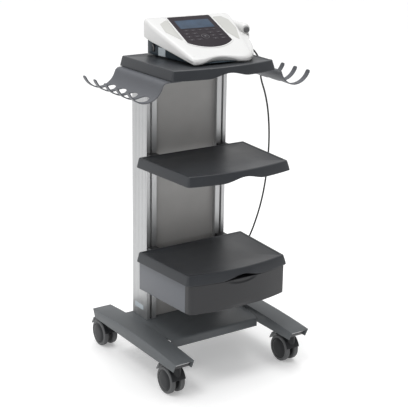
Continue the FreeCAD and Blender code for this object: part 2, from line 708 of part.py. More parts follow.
# ---------------------------------------------------------------- console

def keep_on_console(item, name):
    """Makes a node of a piece drawn about the console's own axis: the console stands a little turned."""
    return keep(place(group([item]), "console_x", angle=DIMS["console_turn"]), name)


def deck(y, drop="0"):
    """Height of the console's sloping deck above a place along it, less a drop."""
    return f"(deck_z + ({y})*tan(deck_slope*1deg) - ({drop}))"


def seam(y, drop="0"):
    """Height of the seam between the console's base and its shell."""
    rise = "(seam_back_z - seam_front_z)/(console_back - console_front)"
    return f"(seam_front_z + ({y} - console_front)*{rise} - ({drop}))"


def taper(body, half_back, half_front, front):
    """Cuts a console body's sides so that it narrows from near its back towards the front."""
    for side in (-1, 1):
        wedge = new_sketch(body, "XY", "console_floor")
        x_back, x_front = f"{side}*({half_back})", f"{side}*({half_front})"
        outline(wedge, [(x_back, "taper_start"), (f"{side}*200", "taper_start"),
                        (f"{side}*200", f"{front} - 6"), (x_front, f"{front} - 6")])
        pocket(body, wedge, 400, both=True)


def make_console_base():
    """The dark lower tub that holds the electronics and the sockets."""
    outer = new_body("Tub")
    side = new_sketch(outer, "YZ")
    outline(side, [("base_front", "console_floor"), ("console_back", "console_floor"),
                   ("console_back", seam("console_back")), ("base_front", seam("base_front"))])
    pad(outer, side, "2*base_half_back", both=True)
    taper(outer, "base_half_back", "base_half_front", "base_front")
    inner = new_body("TubSpace")
    side = new_sketch(inner, "YZ")
    wall = "shell_wall"
    outline(side, [(f"base_front + {wall}", f"console_floor + {wall}"),
                   (f"console_back - {wall}", f"console_floor + {wall}"),
                   (f"console_back - {wall}", "seam_back_z + 5"),
                   (f"base_front + {wall}", f"{seam('base_front')} + 5")])
    pad(inner, side, f"2*(base_half_back - {wall})", both=True)
    taper(inner, f"base_half_back - {wall}", f"base_half_front - {wall}", "base_front")
    tub = cut(outer, inner)
    left = "-base_half_back"
    switch_hole = block(f"{left} - 1", f"{left} + 6", "switch_y - switch_wide - 0.6",
                        "switch_y + switch_wide + 0.6",
                        "switch_z - switch_half - 1.6", "switch_z + switch_half + 1.6")
    inlet_hole = block("inlet_low", "inlet_high", "console_back - 3", "console_back + 1", "inlet_floor",
                       "inlet_roof")
    socket_hole = rod(8, 6, "socket_x", "console_back - 4", "socket_z", **ALONG_BACK)
    keep_on_console(cut(tub, fused([switch_hole, inlet_hole, socket_hole])), "console_base")


def shell_side(body, wall):
    """The shell's side profile, drawn in by its wall; the wall is 0 for the outside."""
    sketch = new_sketch(body, "YZ")
    back, front = f"console_back + 3 - {wall}", f"console_front + {wall}"
    lower = "0" if wall == "0" else "4"
    outline(sketch, [
        (back, f"seam_back_z - {lower}"), (back, "seam_back_z + 37"),
        (f"console_back - 8 - {wall}", deck("console_back - 8", wall)),
        ("console_front + 20", deck("console_front + 20", wall)),
        (f"{front} + 5", f"seam_front_z + 12 - {wall}"),
        (front, f"seam_front_z + 4 - {wall}"), (front, f"seam_front_z - {lower}"),
    ])
    return sketch


def make_console_shell():
    """The white upper moulding: sloping deck, narrower nose, arched front edge."""
    outer = new_body("Shell")
    pad(outer, shell_side(outer, "0"), "2*shell_half_back", both=True)
    taper(outer, "shell_half_back", "shell_half_front", "console_front")
    slope = math.radians(DIMS["deck_slope"])
    along_deck = FreeCAD.Vector(0, math.cos(slope), math.sin(slope))
    round_edges(outer, 9, edge_along(along_deck, lambda point: point.z > value("seam_front_z + 30")))
    inner = new_body("ShellSpace")
    pad(inner, shell_side(inner, "shell_wall"), "2*(shell_half_back - shell_wall)", both=True)
    taper(inner, "shell_half_back - 2*shell_wall", "shell_half_front - 2*shell_wall", "console_front")
    arch = rod(200, 60, 0, "console_front - 10", "seam_front_z + 16 - 200", **ALONG_BACK)
    recess = new_body("PadRecess")
    pad(recess, keypad_outline(recess, "-pad_wall"), 8)
    place(recess, 0, 0, "deck_z", (1, 0, 0), DIMS["deck_slope"])
    keep_on_console(cut(cut(outer, inner), fused([arch, recess])), "console_shell")


def keypad_outline(body, z):
    """The keypad in the deck's own plane: a flared panel with a bowed lower edge."""
    sketch = new_sketch(body, "XY", z)
    outline(sketch, [("-pad_half_high", "pad_high"), ("-pad_half_low", "pad_low", "pad_bow", 1),
                     ("pad_half_low", "pad_low"), ("pad_half_high", "pad_high")])
    return sketch


def make_keypad():
    """The membrane keypad in its recess, and the display window set into it."""
    body = new_body("Keypad")
    pad(body, keypad_outline(body, "-pad_wall"), "pad_wall")
    window = new_sketch(body, "XY", 0)
    rectangle(window, "-window_half", "window_low", "window_half", "window_high")
    pocket(body, window, "pad_wall")
    keep_on_console(place(body, 0, 0, "deck_z", (1, 0, 0), DIMS["deck_slope"]), "keypad")
    glass = new_body("Window")
    face = new_sketch(glass, "XY", "-pad_wall")
    rectangle(face, "-window_half", "window_low", "window_half", "window_high")
    pad(glass, face, "pad_wall")
    keep_on_console(place(glass, 0, 0, "deck_z", (1, 0, 0), DIMS["deck_slope"]), "display_window")


def make_console_inside():
    """The circuit board on four posts and the display module below its window."""
    board = block(-76, 76, -60, 70, 866, 867.6)
    posts = [rod(3, "866 - console_floor - shell_wall", x, y, "console_floor + shell_wall")
             for x in (-68, 68) for y in (-52, 62)]
    keep_on_console(fused([board] + posts), "circuit_board")
    module = new_body("Module")
    face = new_sketch(module, "XY", -12)
    rectangle(face, -56, 46, 56, 92)
    pad(module, face, "12 - shell_wall - 1")
    keep_on_console(place(module, 0, 0, "deck_z", (1, 0, 0), DIMS["deck_slope"]), "display_module")


def make_console_fittings():
    """Rubber feet, mains inlet, rocker switch, and the socket that the head's lead plugs into."""
    feet = [rod("foot_r", "console_floor - top_z", x, y, "top_z")
            for x, y in ((-68, -72), (68, -72), (-95, 95), (95, 95))]
    keep_on_console(group(feet), "console_feet")
    inlet = cut(block("inlet_low", "inlet_high", "console_back - 16", "console_back", "inlet_floor",
                      "inlet_roof"),
                block("inlet_low + 3", "inlet_high - 3", "console_back - 13", "console_back + 1",
                      "inlet_floor + 3", "inlet_roof - 3"))
    pins = [block(f"inlet_low + {x}", f"inlet_low + {x} + 2", "console_back - 13", "console_back - 6",
                  "inlet_floor + 7", "inlet_roof - 7") for x in (6.5, 12.5, 18.5)]
    keep_on_console(fused([inlet] + pins), "mains_inlet")
    left = "-base_half_back"
    rocker = new_body("power_switch")
    side = new_sketch(rocker, "XZ", "-(switch_y - switch_wide)")
    low, high = "switch_z - switch_half", "switch_z + switch_half"
    outline(side, [(f"{left} + 3", low), (f"{left} + 10", "switch_z"), (f"{left} + 3", high),
                   (f"{left} - 1.2", high),
                   (f"{left} + 0.8", "switch_z"), (f"{left} + 0.4", low)])
    pad(rocker, side, "2*switch_wide", reverse=True)
    keep_on_console(rocker, "power_switch")
    ring = cut(rod(8, 14, "socket_x", "console_back - 12", "socket_z", **ALONG_BACK),
               rod(6.5, 14, "socket_x", "console_back - 9", "socket_z", **ALONG_BACK))
    keep_on_console(ring, "head_socket")
    label = doc.addObject("Part::Box", "Label")
    label.setExpression("Length", "0.5 mm")
    label.setExpression("Width", bound("label_high - label_low"))
    label.setExpression("Height", 'Dims.inlet_roof - Dims.inlet_floor + 2')
    narrowing = "(base_half_back - base_half_front)/(taper_start - base_front + 6)"
    wall_angle = math.degrees(math.atan(value(narrowing)))
    keep_on_console(place(label, f"{left} + (taper_start - label_low)*{narrowing} - 0.5",
                          "label_low - 0.05", "console_floor + 1",
               angle=wall_angle), "rating_plate")


def shell_half(y):
    """Half the shell's width at a place along it."""
    rise = "(shell_half_back - shell_half_front)/(taper_start - console_front + 6)"
    return f"shell_half_front + ({y} - console_front + 6)*{rise}"


def make_head_holder():
    """A wing on the console's right side, hollowed into a trough that carries the head."""
    body = new_body("Wing")
    plan = new_sketch(body, "XY", "wing_low")
    outline(plan, [(shell_half("wing_front"), "wing_front"), ("wing_reach - 54", -48),
                   ("wing_reach - 42", -16),
                   ("wing_reach - 33", 16), ("wing_reach - 22", 38), ("wing_reach - 4", 58),
                   ("wing_reach", 70), ("wing_reach", "wing_back - 8"), ("wing_reach - 8", "wing_back"),
                   ("shell_half_back", "wing_back"), ("shell_half_back", "taper_start")])
    pad(body, plan, "wing_high - wing_low")
    above = new_sketch(body, "YZ")
    ridge = "(wing_high + wing_drop - deck_z)/tan(deck_slope*1deg)"
    outline(above, [("wing_front - 1", deck("wing_front - 1", "wing_drop")), (ridge, "wing_high"),
                    (ridge, "wing_high + 1"), ("wing_front - 1", "wing_high + 1")])
    pocket(body, above, 400, both=True)
    below = new_sketch(body, "YZ")
    outline(below, [(28, "wing_low - 1"), (28, "wing_low"), (44, "wing_floor"),
                    ("wing_back + 1", "wing_floor"), ("wing_back + 1", "wing_low - 1")])
    pocket(body, below, 400, both=True)
    trough = rod("head_r + head_gap", 80, "head_x", "head_y - 3", "head_z", **ALONG_BACK)
    lead_hole = rod("relief_hole_r", 30, "head_x", "head_y + 11", "head_z - 40")
    keep_on_console(cut(body, fused([trough, lead_hole])), "head_holder")


def make_head():
    """The ultrasound head: grip with a grey end cap, a neck and an aluminium treatment face."""
    grip = [[(0, 6), (13, 6), ("head_r", 20), ("head_r", 72), (13.5, 96), (13.5, 108), (0, 108)]]
    handle = turned("Grip", grip, "head_x", "head_y", "head_z", **ALONG_BACK)
    keep_on_console(handle, "head_grip")
    cap = [[(0, 0), (6.5, 0), (8.5, 2), (8.5, 6), (0, 6)]]
    keep_on_console(turned("Cap", cap, "head_x", "head_y", "head_z", **ALONG_BACK), "head_cap")
    cup = rod(15, 17, "head_x", "head_y + 124", "head_z - 10", name="Cup")
    neck = rod(8.5, 8, "head_x", "head_y + 108", "head_z - 1", **ALONG_BACK)
    keep_on_console(fused([cup, neck]), "head_cup")
    keep_on_console(rod(13, 4, "head_x", "head_y + 124", "head_z - 14"), "treatment_face")
    relief = turned("Relief", [[(0, 0), (5, 0), (3.6, 10), (3.4, 14), (0, 14)]], "head_x", "head_y + 13",
                    "head_z - 12.5",
                    (1, 0, 0), 163)
    keep_on_console(cut(relief, group([handle])), "head_relief")


# ---------------------------------------------------------------- lead

LEAD_ROUTE = [
    (178.1, 44.9, 885.1), (177.9, 42, 875.5), (178, 34, 867), (178, 20, 863), (177, 4, 861),
    (176, -10, 854),
    (180, -17, 841), (191, -11, 824), (206, 6, 804), (219, 25, 782), (226, 27, 762), (233, 19, 732),
    (240, 14, 690), (243, 10, 645), (244, 8, 597), (243, 9, 545), (240, 12, 484), (234, 19, 422),
    (225, 27, 370), (208, 36, 309), (187, 52, 256), (166, 78, 216), (154, 112, 188), (140, 146, 170),
    (113, 166, 161), (82, 172, 163), (54, 173, 180), (35, 172, 211), (26, 172, 256), (23, 173, 315),
    (22, 171, 380), (24, 170, 450), (27, 172, 520), (27, 174, 590), (24, 175, 655), (22, 174, 715),
    (26, 174, 768), (33, 176, 812), (41, 177, 845), (48, 175, 867), (51.6, 166, 880), (50.8, 154.2, 885),
    (49.9, 141.2, 885),
]


def lead_wire(route):
    """Straight runs joined by tangent arcs, each as large as its two runs allow, and the radii."""
    points = [FreeCAD.Vector(*point) for point in route]
    edges, radii = [], []
    start = points[0]
    for before, corner, after in zip(points, points[1:], points[2:]):
        back, ahead = (before - corner), (after - corner)
        shorter = min(back.Length, ahead.Length)
        back.normalize()
        ahead.normalize()
        half_turn = (math.pi - back.getAngle(ahead)) / 2
        step = 0.45 * shorter
        radius = step / math.tan(half_turn)
        radii.append(radius)
        first, last = corner + back * step, corner + ahead * step
        inward = (back + ahead).normalize()
        middle = corner + inward * (radius / math.cos(half_turn) - radius)
        edges.append(Part.LineSegment(start, first).toShape())
        edges.append(Part.Arc(first, middle, last).toShape())
        start = last
    edges.append(Part.LineSegment(start, points[-1]).toShape())
    return Part.Wire(edges), radii


def make_lead():
    """The head's lead hangs in one long loop and comes back up to the console's rear."""
    wire, radii = lead_wire(LEAD_ROUTE)
    radius = value("lead_r")
    start = FreeCAD.Vector(*LEAD_ROUTE[0])
    heading = FreeCAD.Vector(*LEAD_ROUTE[1]) - start
    section = Part.Wire(Part.makeCircle(radius, start, heading))
    lead = doc.addObject("Part::Feature", "Lead")
    lead.Shape = wire.makePipeShell([section], True, False)
    keep(lead, "head_lead")
    expected = math.pi * radius * radius * wire.Length
    print(f"lead length {wire.Length:.1f}, volume {lead.Shape.Volume:.0f} for {expected:.0f}")
    print("lead radii", ", ".join(f"{r:.0f}" for r in radii))
    plug = [[(0, 0), (6.2, 0), (6.2, 9), (7, 9), (7, 16), (4.2, 24), (3.4, 31.5), (0, 31.5)]]
    keep_on_console(turned("Plug", plug, "socket_x", "console_back - 5.5", "socket_z", **ALONG_BACK),
                    "lead_plug")


# ---------------------------------------------------------------- the whole object

def make_everything():
    make_leg("left_leg", -1)
    make_leg("right_leg", 1)
    make_base_plate()
    make_column_bolts()
    make_castor_stems()
    for label, side, stem_y in (
        ("front_left_castor", -1, "front_stem_y"), ("front_right_castor", 1, "front_stem_y"),
        ("rear_left_castor", -1, "rear_stem_y"), ("rear_right_castor", 1, "rear_stem_y"),
    ):
        make_castor(label, side, stem_y)
    make_extrusion("left_extrusion", -1)
    make_extrusion("right_extrusion", 1)
    make_column_panels()
    make_shelf("top_shelf", "top_z", "top_back", "top_front", "top_back_half", "top_front_half")
    for name, z in (("middle_shelf", "middle_z"), ("lower_shelf", "lower_z")):
        make_shelf(name, z, "shelf_back", "shelf_front", "shelf_back_half", "shelf_front_half")
    make_shelf_arms()
    make_drawer_housing()
    make_drawer_spacers()
    make_drawer_front()
    make_drawer_tray()
    make_runners()
    make_hook_tray("left_hook_tray", -1)
    make_hook_tray("right_hook_tray", 1)
    make_hook_screws()
    make_console_base()
    make_console_shell()
    make_keypad()
    make_console_inside()
    make_console_fittings()
    make_head_holder()
    make_head()
    make_lead()


def check_and_write():
    """Stops at any failed or empty shape, then writes one STEP file for each node."""
    doc.recompute()
    for item in doc.Objects:
        if {"Invalid", "Error"} & set(item.State):
            raise RuntimeError(f"{item.Label} failed: {item.State}")
    for name, item in NODES.items():
        if item.Shape.isNull() or not item.Shape.isValid() or not item.Shape.Solids:
            raise RuntimeError(f"{name} has no valid solid")
    os.makedirs("parts", exist_ok=True)
    for name, item in NODES.items():
        item.Shape.exportStep(f"parts/{name}.step")
    print(len(NODES), "nodes written")


make_everything()
check_and_write()
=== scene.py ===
"""Looks of an ultrasound therapy console on its wheeled trolley. Metres, front faces -Y, Z up."""

import json
import math

import bmesh
import bpy
from mathutils import Matrix, Vector


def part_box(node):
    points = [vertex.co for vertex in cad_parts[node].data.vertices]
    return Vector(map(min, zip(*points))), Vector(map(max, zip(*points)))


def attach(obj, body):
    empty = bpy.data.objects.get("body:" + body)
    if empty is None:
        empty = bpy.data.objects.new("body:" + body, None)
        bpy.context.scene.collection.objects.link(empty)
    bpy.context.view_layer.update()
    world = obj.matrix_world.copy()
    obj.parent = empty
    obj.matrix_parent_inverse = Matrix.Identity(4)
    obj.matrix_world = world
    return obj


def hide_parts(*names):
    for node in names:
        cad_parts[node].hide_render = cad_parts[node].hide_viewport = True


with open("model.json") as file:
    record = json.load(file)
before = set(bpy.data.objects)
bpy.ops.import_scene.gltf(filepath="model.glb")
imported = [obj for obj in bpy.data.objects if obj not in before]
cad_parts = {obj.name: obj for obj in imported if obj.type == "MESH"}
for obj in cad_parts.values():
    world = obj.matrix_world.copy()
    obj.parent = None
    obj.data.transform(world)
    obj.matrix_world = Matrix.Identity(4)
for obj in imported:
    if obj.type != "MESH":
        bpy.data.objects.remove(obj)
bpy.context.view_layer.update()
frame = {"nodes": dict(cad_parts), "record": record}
MM = 0.001
BODY_OF = {node: body for body, nodes in frame["record"]["behaviour"]["bodies"].items() for node in nodes}
SLOT_OF = {part["node"]: part["material_slot"] for part in frame["record"]["subparts"]}
CASTORS = ("front_left_castor", "front_right_castor", "rear_left_castor", "rear_right_castor")


# ---------------------------------------------------------------- camera

def make_camera():
    """A long lens from the front left, a little above the console."""
    turn, rise, roll = math.radians(-34.16), math.radians(17.86), math.radians(0.92)
    back = Vector((math.sin(turn) * math.cos(rise), -math.cos(turn) * math.cos(rise), math.sin(rise)))
    level = Vector((math.cos(turn), math.sin(turn), 0))
    up = back.cross(level)
    right = level * math.cos(roll) + up * math.sin(roll)
    above = up * math.cos(roll) - level * math.sin(roll)
    camera = bpy.data.objects.new("camera", bpy.data.cameras.new("camera"))
    bpy.context.scene.collection.objects.link(camera)
    camera.data.lens = 100.8
    camera.data.sensor_width = 36
    camera.data.clip_end = 50
    place = Matrix((right, above, back)).transposed().to_4x4()
    place.translation = Vector((-1.6718, -2.4912, 1.4158))
    camera.matrix_world = place
    bpy.context.scene.camera = camera


# ---------------------------------------------------------------- materials

def shade(color, factor):
    return tuple(min(max(part * factor, 0), 1) for part in color[:3]) + (1,)


GLOSS_SPREAD = 0.08
COAT_ROUGHNESS = 0.12


def make_material(name, color, roughness, metallic=0.0, variation=0.06, grain=900.0, bump=0.08,
                  depth=0.0002, coat=0.0, streak=None, patch=14.0, specular=0.5, glow=0.0):
    """A surface with soft patches of colour, uneven roughness and a fine grain in its normals."""
    material = bpy.data.materials.new(name)
    material.use_nodes = True
    nodes, links = material.node_tree.nodes, material.node_tree.links
    shader = nodes["Principled BSDF"]
    shader.inputs["Metallic"].default_value = metallic
    shader.inputs["Coat Weight"].default_value = coat
    shader.inputs["Coat Roughness"].default_value = COAT_ROUGHNESS
    shader.inputs["Specular IOR Level"].default_value = specular
    shader.inputs["Emission Color"].default_value = (1, 1, 1, 1)
    shader.inputs["Emission Strength"].default_value = glow
    where = nodes.new("ShaderNodeTexCoord")
    source = where.outputs["Object"]
    if streak:
        stretch = nodes.new("ShaderNodeMapping")
        stretch.inputs["Scale"].default_value = streak
        links.new(source, stretch.inputs["Vector"])
        source = stretch.outputs["Vector"]

    patches = nodes.new("ShaderNodeTexNoise")
    patches.inputs["Scale"].default_value = patch
    patches.inputs["Detail"].default_value = 5
    links.new(where.outputs["Object"], patches.inputs["Vector"])
    tint = nodes.new("ShaderNodeValToRGB")
    tint.color_ramp.elements[0].position = 0.3
    tint.color_ramp.elements[1].position = 0.7
    tint.color_ramp.elements[0].color = shade(color, 1 - variation)
    tint.color_ramp.elements[1].color = shade(color, 1 + variation)
    links.new(patches.outputs["Fac"], tint.inputs["Fac"])

    fine = nodes.new("ShaderNodeTexNoise")
    fine.inputs["Scale"].default_value = grain
    fine.inputs["Detail"].default_value = 3
    links.new(source, fine.inputs["Vector"])
    speckle = nodes.new("ShaderNodeMixRGB")
    speckle.blend_type = "MULTIPLY"
    speckle.inputs["Fac"].default_value = min(1.0, variation * 4)
    speck_ramp = nodes.new("ShaderNodeValToRGB")
    speck_ramp.color_ramp.elements[0].position = 0.35
    speck_ramp.color_ramp.elements[0].color = (0.86, 0.86, 0.86, 1)
    speck_ramp.color_ramp.elements[1].position = 0.62
    links.new(fine.outputs["Fac"], speck_ramp.inputs["Fac"])
    links.new(tint.outputs["Color"], speckle.inputs["Color1"])
    links.new(speck_ramp.outputs["Color"], speckle.inputs["Color2"])
    links.new(speckle.outputs["Color"], shader.inputs["Base Color"])

    gloss = nodes.new("ShaderNodeMapRange")
    gloss.inputs["To Min"].default_value = max(roughness - GLOSS_SPREAD, 0.02)
    gloss.inputs["To Max"].default_value = min(roughness + GLOSS_SPREAD, 1)
    links.new(patches.outputs["Fac"], gloss.inputs["Value"])
    links.new(gloss.outputs["Result"], shader.inputs["Roughness"])

    relief = nodes.new("ShaderNodeBump")
    relief.inputs["Strength"].default_value = bump
    relief.inputs["Distance"].default_value = depth
    links.new(fine.outputs["Fac"], relief.inputs["Height"])
    links.new(relief.outputs["Normal"], shader.inputs["Normal"])
    return material


def make_materials():
    """One material for each slot of the record, and a few for printed details."""
    upright = (6, 6, 0.05)
    looks = {
        "base_paint": dict(color=(0.098, 0.106, 0.112), roughness=0.50, variation=0.05, grain=1500,
            bump=0.16, specular=0.35),
        "fastener_steel": dict(color=(0.55, 0.55, 0.56), roughness=0.32, metallic=1, grain=700),
        "anodised_aluminium": dict(color=(0.53, 0.535, 0.54), roughness=0.40, metallic=0.85,
            variation=0.03, streak=upright, grain=260, bump=0.1),
        "panel_paint": dict(color=(0.40, 0.394, 0.385), roughness=0.46, variation=0.05, grain=1400,
            bump=0.14),
        "shelf_plastic": dict(color=(0.024, 0.027, 0.032), roughness=0.42, variation=0.08, grain=1300,
            bump=0.3, depth=0.0003),
        "bracket_steel": dict(color=(0.02, 0.02, 0.022), roughness=0.5, grain=1200, bump=0.15),
        "drawer_paint": dict(color=(0.115, 0.122, 0.136), roughness=0.44, variation=0.04, grain=1500,
            bump=0.12),
        "drawer_plastic": dict(color=(0.016, 0.0166, 0.019), roughness=0.44, variation=0.06, grain=1300,
            bump=0.28, depth=0.0003),
        "tray_paint": dict(color=(0.085, 0.090, 0.102), roughness=0.46, variation=0.05, grain=1500,
            bump=0.14),
        "console_dark": dict(color=(0.014, 0.028, 0.040), roughness=0.46, variation=0.08, grain=1300,
            bump=0.25, depth=0.0003, specular=0.3),
        "console_white": dict(color=(0.66, 0.66, 0.655), roughness=0.34, variation=0.012, grain=1500,
            bump=0.06, coat=0.15),
        "console_inset": dict(color=(0.46, 0.46, 0.44), roughness=0.42, variation=0.015, grain=1500,
            bump=0.08),
        "keypad_film": dict(color=(0.022, 0.017, 0.022), roughness=0.5, variation=0.08, grain=2200,
            bump=0.2, depth=0.0002, specular=0.1),
        "key_film": dict(color=(0.032, 0.027, 0.033), roughness=0.5, variation=0.05, grain=2200,
            bump=0.15, specular=0.1),
        "key_print": dict(color=(0.17, 0.17, 0.18), roughness=0.5, variation=0.04, grain=1800,
            bump=0.05, specular=0.1),
        "display": dict(color=(0.038, 0.064, 0.104), roughness=0.38, variation=0.22, grain=400,
            bump=0.0, patch=28.0, specular=0.12),
        "board": dict(color=(0.02, 0.12, 0.05), roughness=0.45, variation=0.2, grain=600, bump=0.3),
        "rubber_black": dict(color=(0.02, 0.02, 0.02), roughness=0.75, variation=0.1, grain=900,
            bump=0.3),
        "socket_plastic": dict(color=(0.012, 0.012, 0.014), roughness=0.4, variation=0.1, grain=1200,
            bump=0.2),
        "label_foil": dict(color=(0.56, 0.62, 0.66), roughness=0.4, metallic=0.15, variation=0.06,
            grain=500, bump=0.05, patch=160.0),
        "head_grey": dict(color=(0.110, 0.110, 0.114), roughness=0.5, variation=0.06, grain=1300,
            bump=0.2),
        "face_aluminium": dict(color=(0.75, 0.75, 0.75), roughness=0.25, metallic=1, variation=0.03,
            grain=500, streak=(1, 1, 6)),
        "lead_rubber": dict(color=(0.030, 0.030, 0.031), roughness=0.42, variation=0.08, grain=1200,
            bump=0.2),
        "castor_black": dict(color=(0.013, 0.014, 0.016), roughness=0.42, variation=0.1, grain=1200,
            bump=0.18, specular=0.3),
        "castor_tread": dict(color=(0.085, 0.087, 0.090), roughness=0.62, variation=0.1, grain=700,
            bump=0.35, depth=0.0004),
        "brake_grey": dict(color=(0.16, 0.165, 0.17), roughness=0.45, variation=0.06, grain=1200,
            bump=0.2),
        "floor": dict(color=(0.86, 0.86, 0.86), roughness=0.75, variation=0.008, grain=120, bump=0.03,
            patch=2.0, glow=0.26),
    }
    return {name: make_material(name, **look) for name, look in looks.items()}


# ---------------------------------------------------------------- mesh helpers

DOUBLED, CAD_DOUBLED = 1e-7, 2e-6


def add_piece(name, mesh, slot, body, *nodes, material=None, angle=38):
    """Links a finished mesh, shades it, puts it on the body it rides on and hides the CAD nodes it stands
    for.
    """
    mesh.polygons.foreach_set("use_smooth", [True] * len(mesh.polygons))
    mesh.set_sharp_from_angle(angle=math.radians(angle))
    mesh.materials.clear()
    mesh.materials.append(MATERIALS[material or slot])
    piece = bpy.data.objects.new(name, mesh)
    bpy.context.scene.collection.objects.link(piece)
    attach(piece, body)
    if nodes:
        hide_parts(*nodes)
    return piece


def mesh_of(name, vertices, faces):
    mesh = bpy.data.meshes.new(name)
    mesh.from_pydata([tuple(vertex) for vertex in vertices], [], faces)
    tidy_mesh(mesh)
    return mesh


def tidy_mesh(mesh):
    """Joins doubled points and turns every face outwards."""
    work = bmesh.new()
    work.from_mesh(mesh)
    bmesh.ops.remove_doubles(work, verts=work.verts, dist=DOUBLED)
    bmesh.ops.recalc_face_normals(work, faces=work.faces)
    work.to_mesh(mesh)
    work.free()
    mesh.update()


def skin(name, loops, close=True):
    """A mesh through closed loops with the same number of points, with its first and last loop filled."""
    count = len(loops[0])
    vertices = [point for loop in loops for point in loop]
    faces = []
    for row in range(len(loops) - 1):
        for column in range(count):
            after = (column + 1) % count
            faces.append((row * count + column, row * count + after,
                          (row + 1) * count + after, (row + 1) * count + column))
    if close:
        faces.append(tuple(range(count)))
        faces.append(tuple((len(loops) - 1) * count + column for column in range(count)))
    return mesh_of(name, vertices, faces)


def refine(mesh, name, bevel=0.0, segments=2, thickness=0.0, limit=30):
    """The mesh with a thickness given to its sheet, or its hard edges rounded."""
    holder = bpy.data.objects.new(name, mesh)
    bpy.context.scene.collection.objects.link(holder)
    if thickness:
        solid = holder.modifiers.new("Solid", "SOLIDIFY")
        solid.thickness = thickness
        solid.offset = 0
        solid.use_even_offset = True
    if bevel:
        rounding = holder.modifiers.new("Rounding", "BEVEL")
        rounding.width = bevel
        rounding.segments = segments
        rounding.limit_method = "ANGLE"
        rounding.angle_limit = math.radians(limit)
        rounding.use_clamp_overlap = True
    evaluated = holder.evaluated_get(bpy.context.evaluated_depsgraph_get())
    result = bpy.data.meshes.new_from_object(evaluated)
    bpy.data.objects.remove(holder)
    return result


def soften(node, bevel):
    """A piece with the CAD node's shape whose hard edges are rounded, as paint or a mould leaves them."""
    mesh = frame["nodes"][node].data.copy()
    work = bmesh.new()
    work.from_mesh(mesh)
    bmesh.ops.remove_doubles(work, verts=work.verts, dist=CAD_DOUBLED)
    bmesh.ops.dissolve_limit(work, angle_limit=math.radians(0.6), verts=work.verts, edges=work.edges)
    work.to_mesh(mesh)
    work.free()
    finished = refine(mesh, node + ".work", bevel=bevel)
    return add_piece(node + ".soft", finished, SLOT_OF[node], BODY_OF[node], node, angle=32)


def arc(centre, radius, start, end, steps):
    """Points of an arc in a plane, angles in degrees."""
    return [(centre[0] + radius * math.cos(math.radians(start + (end - start) * step / steps)),
             centre[1] + radius * math.sin(math.radians(start + (end - start) * step / steps)))
            for step in range(steps + 1)]


def rounded(corners, steps=6):
    """A closed outline of (x, y, radius) with an arc in place of each corner that has a radius."""
    points = []
    for index, (x, y, radius) in enumerate(corners):
        corner = Vector((x, y))
        if not radius:
            points.append(corner)
            continue
        before = (Vector(corners[index - 1][:2]) - corner).normalized()
        after = (Vector(corners[(index + 1) % len(corners)][:2]) - corner).normalized()
        half = before.angle(after) / 2
        centre = corner + (before + after).normalized() * (radius / math.sin(half))
        reach = radius / math.tan(half)
        first = (corner + before * reach) - centre
        last = (corner + after * reach) - centre
        sweep = first.angle_signed(last)
        for step in range(steps + 1):
            turn = -sweep * step / steps
            points.append(centre + Vector((first.x * math.cos(turn) - first.y * math.sin(turn),
                                           first.x * math.sin(turn) + first.y * math.cos(turn))))
    return points


def inward_normals(points):
    """Unit normals that point into a closed outline that runs anticlockwise."""
    normals = []
    for index in range(len(points)):
        along = (points[(index + 1) % len(points)] - points[index - 1]).normalized()
        normals.append(Vector((-along.y, along.x)))
    return normals


def bell(position, half):
    """1 at the middle, 0 at and beyond the half width, smooth between."""
    return 0.5 * (1 + math.cos(math.pi * min(abs(position) / half, 1)))


def lathe(name, profile, start, direction, segments=64):
    """A closed surface turned from (radius, distance) pairs along a direction from a start point."""
    axis = Vector(direction).normalized()
    side = axis.orthogonal().normalized()
    other = axis.cross(side)
    loops = []
    for radius, along in profile:
        centre = Vector(start) + axis * along
        loops.append([centre + (side * math.cos(turn) + other * math.sin(turn)) * max(radius, 1e-5)
                      for turn in (2 * math.pi * step / segments for step in range(segments))])
    return skin(name, loops)


# ---------------------------------------------------------------- trolley

SHELF_FLARE, SHELF_SKIRT, SHELF_BOW = 6 * MM, 26.5 * MM, 22 * MM


def shelf_plan(half_front, front, half_back, back, corner, heel):
    """Outline of a shelf: straight sides that widen to the back, and a front edge bowed forward."""
    reach = (half_front ** 2 + SHELF_BOW ** 2) / (2 * SHELF_BOW)
    centre = front - SHELF_BOW + reach
    corners = [(-half_front, front, corner)]
    for step in range(33):
        x = half_front * 0.86 * (step / 16 - 1)
        corners.append((x, centre - math.sqrt(reach ** 2 - x ** 2), 0))
    corners += [(half_front, front, corner), (half_back, back, heel), (-half_back, back, heel)]
    return rounded(corners)


